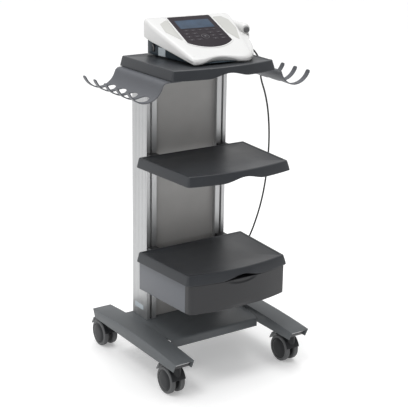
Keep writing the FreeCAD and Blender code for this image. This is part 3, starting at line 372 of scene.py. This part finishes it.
def make_shelf(node):
    """A moulded shelf: sunk top in a thin rim, flared skirt, an arch in the skirt's front edge."""
    low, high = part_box(node)
    top = high.z
    half_back, back = high.x - SHELF_FLARE, high.y - SHELF_FLARE
    front = low.y + SHELF_FLARE + SHELF_BOW
    half_front, corner, heel = 157 * MM, 7 * MM, 5 * MM
    rim, sunk, floor_under = 3.5 * MM, 1.6 * MM, 3.3 * MM
    arch_high, arch_half, arch_zone = 11.5 * MM, 66 * MM, 30 * MM
    innermost = 9.2

    def plan_at(inset):
        return shelf_plan(half_front - inset, front + inset, half_back - inset, back - inset,
                          max(corner - inset * 0.6, 1 * MM), max(heel - inset, 0.8 * MM))

    def across(shrink, drop):
        """A loop of the flat middle, drawn in towards the shelf's centre."""
        middle = Vector((0, (front + back) / 2))
        return [Vector((*(middle + (point - middle) * shrink), top - drop))
                for point in plan_at(innermost * MM)]

    profile = [  # inset and height of each loop, millimetres
        (innermost, -1.6), (8.4, -1.3), (7.6, -0.4), (6.8, -0.05), (5.8, 0), (3.6, 0), (2.2, -0.25),
        (1.0, -0.9),
        (0.3, -1.9), (-0.3, -3.5), (-2.4, -11), (-4.4, -18.5), (-5.6, -24.3), (-5.95, -25.6),
        (-5.7, -26.3),
        (-5.0, -26.5), (-3.8, -26.5), (-3.1, -26.2), (-2.9, -25.4), (-1.0, -17), (1.2, -8), (3.0, -3.8),
        (5.0, -3.3),
    ]
    loops = [across(0.05, sunk), across(0.6, sunk)]
    for inset, height in profile:
        loop = []
        for place in plan_at(inset * MM):
            fall = -height * MM
            if fall > rim and place.y < front + arch_zone:
                lift = arch_high * bell(place.x, arch_half)
                fall = rim + (fall - rim) * (SHELF_SKIRT - rim - lift) / (SHELF_SKIRT - rim)
            loop.append(Vector((place.x, place.y, top - fall)))
        loops.append(loop)
    loops += [across(0.6, floor_under), across(0.05, floor_under)]
    add_piece(node + ".moulding", skin(node, loops), "shelf_plastic", BODY_OF[node], node, angle=50)


def make_leg_ends():
    """Dark plastic inserts, a little way inside both slanted ends of each leg's channel."""
    slant, top = 14 / 30, 110 * MM
    inner, outer, hem, crown = 163.8, 217.2, 87, 107.2
    low_round, high_round = 1 * MM, 2 * MM
    for side, leg in ((-1, "left_leg"), (1, "right_leg")):
        low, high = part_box(leg)
        for way, end in ((1, low.y), (-1, high.y)):
            loops = []
            for depth, shrink in ((9, 1.6), (9.8, 0.4), (10.8, 0), (16, 0)):
                near, far = (inner + shrink) * MM, (outer - shrink) * MM
                low_z, high_z = (hem + shrink) * MM, (crown - shrink) * MM
                section = rounded([(near, low_z, low_round), (far, low_z, low_round),
                                   (far, high_z, high_round), (near, high_z, high_round)], 4)
                loops.append([Vector((side * x, end + way * ((top - z) * slant + depth * MM), z))
                              for x, z in section])
            place = "front" if way > 0 else "back"
            add_piece(f"{leg}_insert_{place}", skin(leg + "_insert", loops), "socket_plastic", "trolley",
                      angle=50)


def make_column_label():
    """A blank foil label stuck low on the left extrusion's outer side."""
    front, back, low, high, corner, thick = (size * MM for size in (78, 124, 132, 147, 2, 0.25))
    outline_points = rounded([(front, low, corner), (back, low, corner), (back, high, corner),
                              (front, high, corner)], 4)
    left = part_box("left_extrusion")[0].x
    loops = [[Vector((left - out, y, z)) for y, z in outline_points] for out in (0, thick)]
    add_piece("column_label", skin("column_label", loops), "label_foil", "trolley", angle=50)


def make_drawer_front():
    """A bowed drawer front: a finger scoop in its top edge and a shallow hollow at the bottom."""
    low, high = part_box("drawer_front")
    side_half, corner = 155 * MM, 9 * MM
    reach = (side_half ** 2 + SHELF_BOW ** 2) / (2 * SHELF_BOW)
    front = low.y + SHELF_BOW
    centre = low.y + reach
    corners = [(-side_half, front, corner)]
    steps = 150
    for step in range(steps + 1):
        x = side_half * 0.9 * (2 * step / steps - 1)
        corners.append((x, centre - math.sqrt(reach ** 2 - x ** 2), 0))
    corners += [(side_half, front, corner), (high.x, high.y, 0), (-high.x, high.y, 0)]
    plan = rounded(corners)
    normals = inward_normals(plan)
    scoop_half, scoop_tall, scoop_deep, scoop_soft = 52 * MM, 14 * MM, 2.6 * MM, 1.5
    edge = 1.6 * MM
    hollow_half, hollow_tall, hollow_deep = 62 * MM, 12 * MM, 2.8 * MM
    heights = [0, 0.2, 0.6, 1.1, 1.6, 3, 5, 7, 9, 12, 20, 35, 50, 62, 64, 65]
    heights += [66 + 0.6 * step for step in range(25)]
    tall = (high.z - low.z) / MM
    levels = [height for height in heights if height < tall - 1.7]
    levels += [tall - 1.6, tall - 1.0, tall - 0.4, tall]
    loops = []
    for level in levels:
        height = level * MM
        loop = []
        from_edge = min(height, high.z - low.z - height)
        roundover = edge - math.sqrt(max(edge ** 2 - max(edge - from_edge, 0) ** 2, 0))
        for point, normal in zip(plan, normals):
            inset = roundover
            if point.y < front:
                inside = 1 - (point.x / scoop_half) ** 2 - ((high.z - low.z - height) / scoop_tall) ** 2
                cut = min(max(inside * scoop_soft, 0), 1)
                inset += scoop_deep * cut * cut * (3 - 2 * cut)
                inset += hollow_deep * bell(point.x, hollow_half) * bell(height, hollow_tall)
            place = point + normal * inset
            loop.append(Vector((place.x, place.y, low.z + height)))
        loops.append(loop)
    add_piece("drawer_front.moulding", skin("drawer_front", loops), "drawer_plastic", "drawer",
              "drawer_front", angle=55)


def make_hook_tray(side, node):
    """A bent sheet: flange under the shelf, a bowl, and five fingers with round roots between them."""
    first, finger, pitch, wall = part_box(node)[0].y, 16 * MM, 56 * MM, 3 * MM
    bend, bowl, start_angle, tip_angle = 14 * MM, 51 * MM, 197.64, 341
    flange_z, bend_x = 826 * MM, 173.96 * MM
    bowl_x, bowl_z, root_x = 235.9 * MM, 831.7 * MM, 222 * MM
    flat = [(x * MM, flange_z) for x in (132, 145, 160)]
    turn = arc((bend_x, flange_z - bend), bend, 90, start_angle - 180, 12)
    dish = arc((bowl_x, bowl_z), bowl, start_angle, tip_angle, 40)
    line = flat + turn + dish[1:]
    lengths = [0.0]
    for before, after in zip(line, line[1:]):
        lengths.append(lengths[-1] + math.dist(before, after))
    total = lengths[-1]

    def at(distance):
        """Point of the sheet's middle line at a distance along it."""
        distance = min(max(distance, 0), total)
        for index in range(len(line) - 1):
            if distance <= lengths[index + 1]:
                share = (distance - lengths[index]) / (lengths[index + 1] - lengths[index])
                before, after = line[index], line[index + 1]
                return (before[0] + (after[0] - before[0]) * share,
                        before[1] + (after[1] - before[1]) * share)
        return line[-1]

    root = next(distance for distance, (x, _) in zip(lengths, line) if x > root_x)
    slot_deep, tip_round, fine = 14 * MM, 7 * MM, 10
    columns = []
    for number in range(5):
        start = first + number * pitch
        for step in range(fine + 1):
            columns.append((start + finger * step / fine, True, step / fine))
        if number < 4:
            for step in range(1, fine):
                columns.append((start + finger + (pitch - finger) * step / fine, False, step / fine))
    rows_base, rows_finger = 30, 26
    vertices, faces, index_of = [], [], {}

    def vertex(column, row, y, distance):
        key = (column, row)
        if key not in index_of:
            x, z = at(distance)
            index_of[key] = len(vertices)
            vertices.append((side * x, y, z))
        return index_of[key]

    def distance_at(column, row):
        _, solid, share = columns[column]
        if row <= rows_base:
            edge = root
            if not solid:
                edge -= slot_deep * math.sqrt(max(1 - (2 * share - 1) ** 2, 0))
            return edge * row / rows_base
        end = total - tip_round * (1 - math.sqrt(max(1 - (2 * share - 1) ** 4, 0)))
        return root + (end - root) * (row - rows_base) / rows_finger

    for column in range(len(columns) - 1):
        solid = columns[column][1] and columns[column + 1][1]
        rows = rows_base + rows_finger if solid else rows_base
        for row in range(rows):
            corners = [(column, row), (column + 1, row), (column + 1, row + 1), (column, row + 1)]
            faces.append(tuple(vertex(c, r, columns[c][0], distance_at(c, r)) for c, r in corners))
    sheet = mesh_of(node, vertices, faces)
    solid_sheet = refine(sheet, node + ".work", thickness=wall)
    solid_sheet = refine(solid_sheet, node + ".work", bevel=0.9 * MM, segments=3, limit=50)
    add_piece(node + ".bent", solid_sheet, "tray_paint", "trolley", node, angle=50)


def make_castor_wheels(castor):
    """Two tyres and two hubs with domed caps and a shallow ring groove."""
    tyre = [  # radius and distance from the castor's middle, millimetres
        (29.5, 7.5), (34.8, 7.5), (36.4, 8.1), (37.2, 9.3), (37.5, 11), (37.5, 17.5), (37.2, 19.4),
        (36.4, 20.7), (34.8, 21.5), (31.2, 21.5), (30.8, 21.2), (29.5, 21.2), (29.5, 7.5),
    ]
    hub = [
        (4.2, 7.0), (29.4, 7.0), (29.4, 20.9), (29.1, 21.4), (28.2, 21.7), (27.2, 21.7), (26.8, 21.2),
        (26.2, 21.1), (25.7, 21.6), (24.0, 22.6), (20.5, 24.0), (15.0, 24.7), (8.0, 24.95), (0.0, 25.0),
    ]
    low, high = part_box(castor + "_tyres")
    centre = (low + high) / 2
    start, steps = (centre.x, centre.y, centre.z), 72
    for way, side in ((-1, "left"), (1, "right")):
        heading = (way, 0, 0)
        tyre_mesh = lathe("tyre", [(r * MM, x * MM) for r, x in tyre], start, heading, steps)
        drop_caps(tyre_mesh)
        hub_mesh = lathe("hub", [(r * MM, x * MM) for r, x in hub], start, heading, steps)
        tyre_piece = add_piece(f"{castor}_tyre_{side}", tyre_mesh, "castor_tread", castor + "_wheels",
                               angle=60)
        hub_piece = add_piece(f"{castor}_hub_{side}", hub_mesh, "castor_black", castor + "_wheels",
                              angle=45)
        if way < 0:
            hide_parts(castor + "_tyres")
            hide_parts(castor + "_hubs")


def drop_caps(mesh):
    """Removes the two end discs of a ring whose section is already closed."""
    work = bmesh.new()
    work.from_mesh(mesh)
    discs = [face for face in work.faces if len(face.verts) > 8]
    bmesh.ops.delete(work, geom=discs, context="FACES_ONLY")
    bmesh.ops.recalc_face_normals(work, faces=work.faces)
    work.to_mesh(mesh)
    work.free()


# ---------------------------------------------------------------- console

CONSOLE_X, CONSOLE_TURN = 19 * MM, math.radians(-4)
DECK_Z, DECK_TURN = 907.6 * MM, math.radians(21.8)
DECK_RISE = math.tan(DECK_TURN)
SHELL_TOP, SHELL_BACK, SHELL_FRONT = 951.2 * MM, 120 * MM, -98 * MM
SHELL_HALF_BACK, SHELL_HALF_FRONT, SHELL_WIDE_Y = 133 * MM, 92 * MM, 92 * MM
SEAM_FRONT, SEAM_BACK = 857 * MM, 905.5 * MM
PAD_HIGH, PAD_LOW, PAD_BOW = 113 * MM, -19.4 * MM, 96.6 * MM
PAD_HALF_HIGH, PAD_HALF_LOW = 65.5 * MM, 68 * MM
NOSE_DRAWN, NOSE_MIDDLE, NOSE_HALF = 15 * MM, -8 * MM, 80 * MM


def on_console(x, y, z):
    """A point given about the console's own axis: the console stands a little turned on its shelf."""
    return Vector((CONSOLE_X + x * math.cos(CONSOLE_TURN) - y * math.sin(CONSOLE_TURN),
                   x * math.sin(CONSOLE_TURN) + y * math.cos(CONSOLE_TURN), z))


def on_deck(across, along, above=0.0):
    """A point of the console's sloping deck, from its own plane's coordinates."""
    return on_console(across, along * math.cos(DECK_TURN) - above * math.sin(DECK_TURN),
                      DECK_Z + along * math.sin(DECK_TURN) + above * math.cos(DECK_TURN))


def shell_plan(inset=0.0):
    """Outline of the shell: widest at the back, a nose whose front edge is drawn in at its middle."""
    left, right, heel = (max(radius * MM - inset, 1.5 * MM) for radius in (17, 34, 16))
    half, wide = SHELL_HALF_FRONT - inset, SHELL_HALF_BACK - inset
    front, back = SHELL_FRONT + inset, SHELL_BACK - inset
    corners = [(-half, front, left)]
    for step in range(41):
        x = (half - right - 4 * MM) * (step / 20 - 1)
        corners.append((x, front + NOSE_DRAWN * bell(x - NOSE_MIDDLE, NOSE_HALF), 0))
    corners += [(half, front, right)]
    side = 12
    for step in range(4, side):
        share = step / side
        corners.append((half + (wide - half) * share, front + (SHELL_WIDE_Y - front) * share, 0))
    corners += [(wide, back, heel)]
    for step in range(1, 16):
        corners.append((wide * (1 - step / 8), back, 0))
    corners += [(-wide, back, heel)]
    for step in range(1, side):
        share = 1 - step / side
        corners.append((-half - (wide - half) * share, front + (SHELL_WIDE_Y - front) * share, 0))
    return rounded(corners, steps=8)


def make_shell():
    """The white upper moulding, open below, with a rounded shoulder and an undercut front edge."""
    wall, under, under_half, under_zone = 2.5 * MM, 9 * MM, 84 * MM, 30 * MM
    shoulder_side, shoulder_nose = 10, 3.5
    plan = shell_plan()
    normals = inward_normals(plan)
    share = [bell(p.x - NOSE_MIDDLE, under_half) if p.y < SHELL_FRONT + under_zone else 0 for p in plan]

    def deck_height(y):
        return min(DECK_Z + y * DECK_RISE, SHELL_TOP)

    def seam_height(y):
        rise = (SEAM_BACK - SEAM_FRONT) / (SHELL_BACK - SHELL_FRONT)
        return max(SEAM_FRONT, SEAM_FRONT + (y - SHELL_FRONT) * rise)

    def loop_at(inset, drop, lower=False):
        """One loop: an inset from the outline, and a drop from the deck or a rise from the seam."""
        loop = []
        for point, normal, front in zip(plan, normals, share):
            place = point + normal * inset(front)
            if lower:
                height = seam_height(SHELL_FRONT if front else point.y) + drop(front)
            else:
                height = deck_height(place.y) - drop(front)
            loop.append(on_console(place.x, place.y, height))
        return loop

    def shoulder(angle):
        """A loop of the rounded shoulder, which is tighter at the drawn-in nose."""
        turn = math.radians(angle)

        def radius_of(front):
            return (shoulder_side - (shoulder_side - shoulder_nose) * front) * MM

        return loop_at(lambda f: radius_of(f) * (1 - math.cos(turn)),
                       lambda f: radius_of(f) * (1 - math.sin(turn)))

    def across(shrink, drop):
        """A loop drawn in towards the middle of the deck."""
        middle = Vector((0, 10 * MM))
        return [on_console(p.x, p.y, deck_height(p.y) - drop)
                for p in (middle + (q - middle) * shrink for q in shell_plan(12 * MM))]

    loops = [across(0.05, 0), across(0.5, 0), across(0.9, 0)]
    loops += [shoulder(angle) for angle in (90, 75, 60, 45, 30, 15, 0)]
    loops += [
        loop_at(lambda f: under * f * 0.55, lambda f: 8 * MM - 2 * MM * f, lower=True),
        loop_at(lambda f: under * f * 0.85, lambda f: 3 * MM, lower=True),
        loop_at(lambda f: under * f + 0.3 * MM, lambda f: 1 * MM, lower=True),
        loop_at(lambda f: under * f + 1.0 * MM, lambda f: 0.2 * MM, lower=True),
        loop_at(lambda f: under * f + 2.2 * MM, lambda f: 0.2 * MM, lower=True),
        loop_at(lambda f: under * f + wall + 0.2 * MM, lambda f: 1.2 * MM, lower=True),
        loop_at(lambda f: under * f * 0.9 + wall, lambda f: 5 * MM, lower=True),
    ]
    loops += [across(0.9, wall), across(0.5, wall), across(0.05, wall)]
    add_piece("console_shell.moulding", skin("console_shell", loops), "console_white", "trolley",
              "console_shell", angle=60)


def shell_half(y):
    """Half the shell's width at a place along it."""
    share = (y - SHELL_FRONT) / (SHELL_WIDE_Y - SHELL_FRONT)
    return SHELL_HALF_FRONT + (SHELL_HALF_BACK - SHELL_HALF_FRONT) * min(share, 1)


HEAD_X, HEAD_Y, HEAD_Z, HEAD_R = 155.6 * MM, 47 * MM, 911 * MM, 17 * MM
WING = [  # y, reach, top, floor of each section, millimetres
    (-78, 97.5, 872, 861), (-70, 102, 875, 860), (-58, 111, 878.5, 860), (-44, 119, 883, 860.5),
    (-28, 127, 888, 861), (-10, 133.5, 892.5, 862), (8, 139.5, 897, 863.5), (22, 144.5, 900.5, 867),
    (34, 150, 902.5, 873), (44, 157.5, 903, 878), (54, 167, 903, 880), (64, 172.5, 903, 880),
    (76, 174, 903, 880), (96, 174, 903, 880), (103, 172.5, 902.4, 880.6), (106.5, 168, 901, 882),
    (108, 162, 899, 884),
]


def make_wing():
    """The white moulding on the console's right side, hollowed where the head lies in it."""
    sunk_in, round_top, round_low = 4 * MM, 9 * MM, 7 * MM
    trough_from, gap, steps = 42 * MM, HEAD_R + 0.4 * MM, 18
    loops = []
    for y, reach, top, floor in WING:
        y, reach, top, floor = y * MM, reach * MM, top * MM, floor * MM
        inner = shell_half(y) - sunk_in
        turn = min(round_top, (reach - inner) * 0.45, (top - floor) * 0.45)
        low_turn = min(round_low, (reach - inner) * 0.4, (top - floor) * 0.4)
        crest = min(top + (reach - inner) * 0.16, DECK_Z + y * DECK_RISE - 9 * MM)
        line = [(inner + (reach - turn - inner) * step / steps,
                 crest + (top - crest) * (step / steps) ** 2) for step in range(steps + 1)]
        line += arc((reach - turn, top - turn), turn, 90, 0, 8)[1:]
        line += arc((reach - low_turn, floor + low_turn), low_turn, 0, -90, 8)
        line += [(inner, floor)]
        loop = []
        for x, z in line:
            if y > trough_from and abs(x - HEAD_X) < gap:
                z = min(z, HEAD_Z - math.sqrt(gap ** 2 - (x - HEAD_X) ** 2))
            loop.append(on_console(x, y, max(z, floor)))
        loops.append(loop)
    add_piece("head_holder.wing", skin("head_holder", loops), "console_white", "trolley", "head_holder",
              angle=50)


def pad_outline(inset=0.0):
    """The keypad's flared outline with a bowed lower edge, in the deck's plane."""
    half_low, half_high = PAD_HALF_LOW - inset, PAD_HALF_HIGH - inset
    radius = PAD_BOW - inset
    centre = PAD_LOW + math.sqrt(PAD_BOW ** 2 - PAD_HALF_LOW ** 2)
    corners = [(-half_low, PAD_LOW, 3 * MM)]
    for step in range(25):
        x = half_low * 0.9 * (step / 12 - 1)
        corners.append((x, centre - math.sqrt(radius ** 2 - x ** 2), 0))
    corners += [(half_low, PAD_LOW, 3 * MM), (half_high, PAD_HIGH - inset, 4 * MM),
                (-half_high, PAD_HIGH - inset, 4 * MM)]
    return rounded(corners)


def deck_plate(name, outline_points, low, high, slot, *nodes, material=None, edge=0.25 * MM):
    """A thin plate on the deck with a softly rounded upper edge."""
    normals = inward_normals(outline_points)
    loops = []
    for inset, height in ((0, low), (0, high - edge), (edge * 0.3, high - edge * 0.3), (edge, high)):
        loops.append([on_deck(*(p + n * inset), height) for p, n in zip(outline_points, normals)])
    return add_piece(name, skin(name, loops), slot, "trolley", *nodes, material=material, angle=50)


def box_outline(left, low, right, high, radius):
    return rounded([(left, low, radius), (right, low, radius), (right, high, radius),
                    (left, high, radius)], steps=5)


def disc_outline(x, y, radius, steps=28):
    return [Vector(point) for point in arc((x, y), radius, 0, 360 - 360 / steps, steps - 1)]


def ring_on_deck(name, outer, inner, low, high, slot, material=None):
    """A frame between two outlines with the same number of points, standing on the deck."""
    loops = [[on_deck(*p, low) for p in outer], [on_deck(*p, high - 0.3 * MM) for p in outer],
             [on_deck(*(p * 0.75 + q * 0.25), high) for p, q in zip(outer, inner)],
             [on_deck(*(p * 0.25 + q * 0.75), high) for p, q in zip(outer, inner)],
             [on_deck(*p, high - 0.3 * MM) for p in inner], [on_deck(*p, low) for p in inner]]
    loops.append(loops[0])
    mesh = skin(name, loops, close=False)
    return add_piece(name, mesh, slot, "trolley", material=material, angle=50)


def make_keypad():
    """The membrane keypad with its display window, raised key domes and plain printed marks."""
    foot, film_high = -0.2 * MM, 0.7 * MM
    deck_plate("keypad.film", pad_outline(), foot, film_high, "keypad_film", "keypad")
    ring_on_deck("keypad.bezel", pad_outline(-3.2 * MM), pad_outline(0.2 * MM), foot, 1.3 * MM,
                 "console_white")
    window = box_outline(-52 * MM, 51 * MM, 52 * MM, 93 * MM, 2 * MM)
    frame_outer = box_outline(-54.5 * MM, 48.5 * MM, 54.5 * MM, 95.5 * MM, 3 * MM)
    frame_inner = box_outline(-52.2 * MM, 50.8 * MM, 52.2 * MM, 93.2 * MM, 2 * MM)
    deck_plate("display.window", window, 0, 1.0 * MM, "display", "display_window")
    ring_on_deck("display.frame", frame_outer, frame_inner, 0, 1.2 * MM, "keypad_film",
                 material="key_film")
    keys = []
    for column in range(5):
        keys.append(((column - 2) * 21 * MM, 40 * MM, 7.5 * MM, 3.2 * MM))
    for row in range(3):
        for column in (-2, -1, 1, 2):
            keys.append((column * 24 * MM, (24 - 15 * row) * MM, 8.5 * MM, 4.6 * MM))
    for number, (x, y, half_x, half_y) in enumerate(keys):
        outline_points = box_outline(x - half_x, y - half_y, x + half_x, y + half_y, 2.4 * MM)
        deck_plate(f"key_{number}", outline_points, 0, film_high + 0.45 * MM, "keypad_film",
                   material="key_film", edge=0.4 * MM)
        mark = box_outline(x - half_x * 0.42, y - 0.5 * MM, x + half_x * 0.42, y + 0.5 * MM, 0.4 * MM)
        if number >= 5 and number % 2:
            mark = disc_outline(x, y, 1.5 * MM, 20)
        deck_plate(f"mark_{number}", mark, 0, film_high + 0.52 * MM, "keypad_film", material="key_print",
                   edge=0.05 * MM)
    centre, steps = 8 * MM, 40
    deck_plate("key_round", disc_outline(0, centre, 9.5 * MM, steps), 0, film_high + 0.6 * MM,
               "keypad_film", material="key_film", edge=0.5 * MM)
    ring_on_deck("key_round.ring", disc_outline(0, centre, 11.2 * MM, steps),
                 disc_outline(0, centre, 10.2 * MM, steps), 0, film_high + 0.35 * MM, "keypad_film",
                 material="key_print")
    triangle = rounded([(-2.4 * MM, 5.2 * MM, 0.3 * MM), (3.4 * MM, 8 * MM, 0.3 * MM),
                        (-2.4 * MM, 10.8 * MM, 0.3 * MM)])
    deck_plate("key_round.mark", triangle, 0, film_high + 0.68 * MM, "keypad_film", material="key_print",
               edge=0.05 * MM)


def make_insets():
    """Two shallow warm grey fields beside the keypad, wide at the back and pointed to the front."""
    left = [(-103, 42, 6), (-86, 14, 0), (-73.5, -8, 2), (-71.0, 60, 0), (-69.5, 104, 4), (-99, 84, 8)]
    right = [(112, 40, 0), (96, -6, 0), (91, -21, 2), (73.5, 20, 0), (71.5, 102, 4), (98, 102, 6),
             (111, 83, 8)]
    for name, field in (("inset_left", left), ("inset_right", right)):
        outline_points = rounded([(x * MM, y * MM, r * MM) for x, y, r in field], steps=8)
        deck_plate(name, outline_points, -0.2 * MM, 0.5 * MM, "console_white", material="console_inset",
                   edge=0.45 * MM)


def make_head():
    """The applicator: a waisted white grip, a dark end cap, a bent neck and a flared cup."""
    start, heading = on_console(HEAD_X, HEAD_Y, HEAD_Z), on_console(0, 1, 0) - on_console(0, 0, 0)
    grip = [  # radius and distance from the front end, millimetres
        (0, 6.2), (9, 6.2), (12.2, 7), (14.0, 9.5), (15.6, 13.5), (16.7, 20), (17.0, 30), (16.6, 44),
        (16.2, 56), (16.7, 68), (16.9, 75), (16.0, 84), (14.4, 92), (13.4, 99), (13.0, 104),
        (12.4, 107.2), (11, 108), (0, 108),
    ]
    cap = [(0, 0), (4.5, 0.1), (7.0, 0.9), (8.2, 2.4), (8.5, 4.2), (8.5, 6.4), (0, 6.4)]
    band = [(13.3, 102), (13.8, 102.3), (13.8, 104.7), (13.3, 105), (13.3, 102)]

    def turned(name, profile, steps):
        return lathe(name, [(radius * MM, along * MM) for radius, along in profile], start, heading,
                     steps)

    add_piece("head_grip.turned", turned("head_grip", grip, 56), "console_white", "trolley", "head_grip",
              angle=50)
    add_piece("head_cap.turned", turned("head_cap", cap, 48), "head_grey", "trolley", "head_cap",
              angle=50)
    band_mesh = turned("head_band", band, 48)
    drop_caps(band_mesh)
    add_piece("head_band", band_mesh, "head_grey", "trolley", angle=60)
    make_head_cup()


def make_head_cup():
    """A short neck that turns down into the round cup around the treatment face."""
    rows = []
    for step in range(13):
        share = step / 12
        turn = math.radians(90) * share
        centre = Vector((HEAD_X, HEAD_Y + 108 * MM + 15.5 * MM * math.sin(turn),
                         HEAD_Z - 1 * MM - 8 * MM * (1 - math.cos(turn))))
        heading = Vector((0, math.cos(turn), -math.sin(turn)))
        radius = (8.5 + 5.6 * share ** 1.5) * MM
        rows.append((centre, heading, radius))
    rows.append((Vector((HEAD_X, HEAD_Y + 124 * MM, HEAD_Z - 9.6 * MM)), Vector((0, 0, -1)), 15 * MM))
    loops = []
    for centre, heading, radius in rows:
        side = Vector((1, 0, 0))
        other = heading.cross(side)
        loops.append([on_console(*(centre + (side * math.cos(t) + other * math.sin(t)) * radius))
                      for t in (2 * math.pi * step / 48 for step in range(48))])
    add_piece("head_cup.moulding", skin("head_cup", loops), "console_white", "trolley", "head_cup",
              angle=50)


# ---------------------------------------------------------------- lead

LEAD_ROUTE = [
    (178.1, 44.9, 885.1), (177.9, 42, 875.5), (178, 34, 867), (178, 20, 863), (177, 4, 861),
    (176, -10, 854), (180, -17, 841), (191, -11, 824), (206, 6, 804), (219, 25, 782), (226, 27, 762),
    (233, 19, 732), (240, 14, 690), (243, 10, 645), (244, 8, 597), (243, 9, 545), (240, 12, 484),
    (234, 19, 422), (225, 27, 370), (208, 36, 309), (187, 52, 256), (166, 78, 216), (154, 112, 188),
    (140, 146, 170), (113, 166, 161), (82, 172, 163), (54, 173, 180), (35, 172, 211), (26, 172, 256),
    (23, 173, 315), (22, 171, 380), (24, 170, 450), (27, 172, 520), (27, 174, 590), (24, 175, 655),
    (22, 174, 715), (26, 174, 768), (33, 176, 812), (41, 177, 845), (48, 175, 867), (51.6, 166, 880),
    (50.8, 154.2, 885), (49.9, 141.2, 885),
]


def make_lead():
    """The head's lead: one smooth line that hangs to the base and comes back up to the console's rear."""
    curve = bpy.data.curves.new("head_lead.line", "CURVE")
    curve.dimensions = "3D"
    curve.bevel_depth = 2.5 * MM
    curve.bevel_resolution = 5
    curve.resolution_u = 10
    curve.use_fill_caps = True
    spline = curve.splines.new("NURBS")
    spline.points.add(len(LEAD_ROUTE) - 1)
    for point, place in zip(spline.points, LEAD_ROUTE):
        point.co = (*[number * MM for number in place], 1)
    spline.order_u = 3
    spline.use_endpoint_u = True
    curve.materials.append(MATERIALS["lead_rubber"])
    lead = bpy.data.objects.new("head_lead.line", curve)
    bpy.context.scene.collection.objects.link(lead)
    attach(lead, "trolley")
    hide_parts("head_lead")


# ---------------------------------------------------------------- surroundings

def make_floor():
    """A pale floor that reaches past the far edge of every view."""
    half = 16.0
    mesh = mesh_of("floor", [(-half, -half, 0), (half, -half, 0), (half, half, 0), (-half, half, 0)],
                   [(0, 1, 2, 3)])
    mesh.materials.append(MATERIALS["floor"])
    floor = bpy.data.objects.new("floor", mesh)
    bpy.context.scene.collection.objects.link(floor)


def add_light(name, place, target, size, power):
    """A round area light that looks at a target."""
    data = bpy.data.lights.new(name, "AREA")
    data.shape = "DISK"
    data.size = size
    data.energy = power
    light = bpy.data.objects.new(name, data)
    bpy.context.scene.collection.objects.link(light)
    light.location = place
    light.rotation_euler = (Vector(target) - Vector(place)).to_track_quat("-Z", "Y").to_euler()


def make_lights():
    """A white surround, darker towards the viewer, three area lights and a soft sun from above."""
    world = bpy.data.worlds.new("world")
    bpy.context.scene.world = world
    world.use_nodes = True
    nodes, links = world.node_tree.nodes, world.node_tree.links
    background = nodes["Background"]
    background.inputs["Color"].default_value = (1, 1, 1, 1)
    where = nodes.new("ShaderNodeTexCoord")
    apart = nodes.new("ShaderNodeSeparateXYZ")
    fade = nodes.new("ShaderNodeMapRange")
    fade.inputs["From Min"].default_value = -0.5
    fade.inputs["From Max"].default_value = 0.3
    fade.inputs["To Min"].default_value = 0.40
    fade.inputs["To Max"].default_value = 0.92
    links.new(where.outputs["Generated"], apart.inputs["Vector"])
    links.new(apart.outputs["Y"], fade.inputs["Value"])
    links.new(fade.outputs["Result"], background.inputs["Strength"])
    middle = (0, 0, 0.5)
    add_light("key", (-2.8, -0.9, 2.0), middle, 1.6, 6)
    add_light("top", (0.5, 0.2, 3.4), middle, 2.4, 46)
    add_light("edge", (-2.2, -2.1, 0.6), middle, 0.4, 5)
    sun = bpy.data.objects.new("sun", bpy.data.lights.new("sun", "SUN"))
    bpy.context.scene.collection.objects.link(sun)
    sun.data.energy = 0.6
    sun.data.angle = math.radians(18)
    sun.rotation_euler = Vector((1.4, 0.4, -3.0)).to_track_quat("-Z", "Y").to_euler()
    bpy.context.scene.view_settings.view_transform = "Standard"


# ---------------------------------------------------------------- the whole object

SOFTENED = {  # width of the edge rounding, millimetres
    "left_leg": 1.2, "right_leg": 1.2, "base_plate": 1.0, "drawer_housing": 0.7, "drawer_tray": 0.6,
    "shelf_arms": 0.8, "console_base": 0.8, "mains_inlet": 0.6, "power_switch": 0.6,
    "column_bolts": 0.5, "hook_screws": 0.5, "castor_stems": 0.6,
}
HOUSING_SOFT, BRAKE_SOFT = 0.8 * MM, 0.7 * MM


def finish_cad_nodes():
    """Gives every CAD node that still shows its slot's material."""
    for node, item in frame["nodes"].items():
        item.data.materials.clear()
        item.data.materials.append(MATERIALS[SLOT_OF[node]])


MATERIALS = make_materials()
make_camera()
make_lead()
finish_cad_nodes()
for node_name, width in SOFTENED.items():
    soften(node_name, width * MM)
for castor_name in CASTORS:
    soften(castor_name + "_housing", HOUSING_SOFT)
    soften(castor_name + "_brake", BRAKE_SOFT)
    make_castor_wheels(castor_name)
for shelf_name in ("top_shelf", "middle_shelf", "lower_shelf"):
    make_shelf(shelf_name)
make_drawer_front()
make_leg_ends()
make_column_label()
make_hook_tray(-1, "left_hook_tray")
make_hook_tray(1, "right_hook_tray")
make_shell()
make_keypad()
make_insets()
make_wing()
make_head()
make_floor()
make_lights()
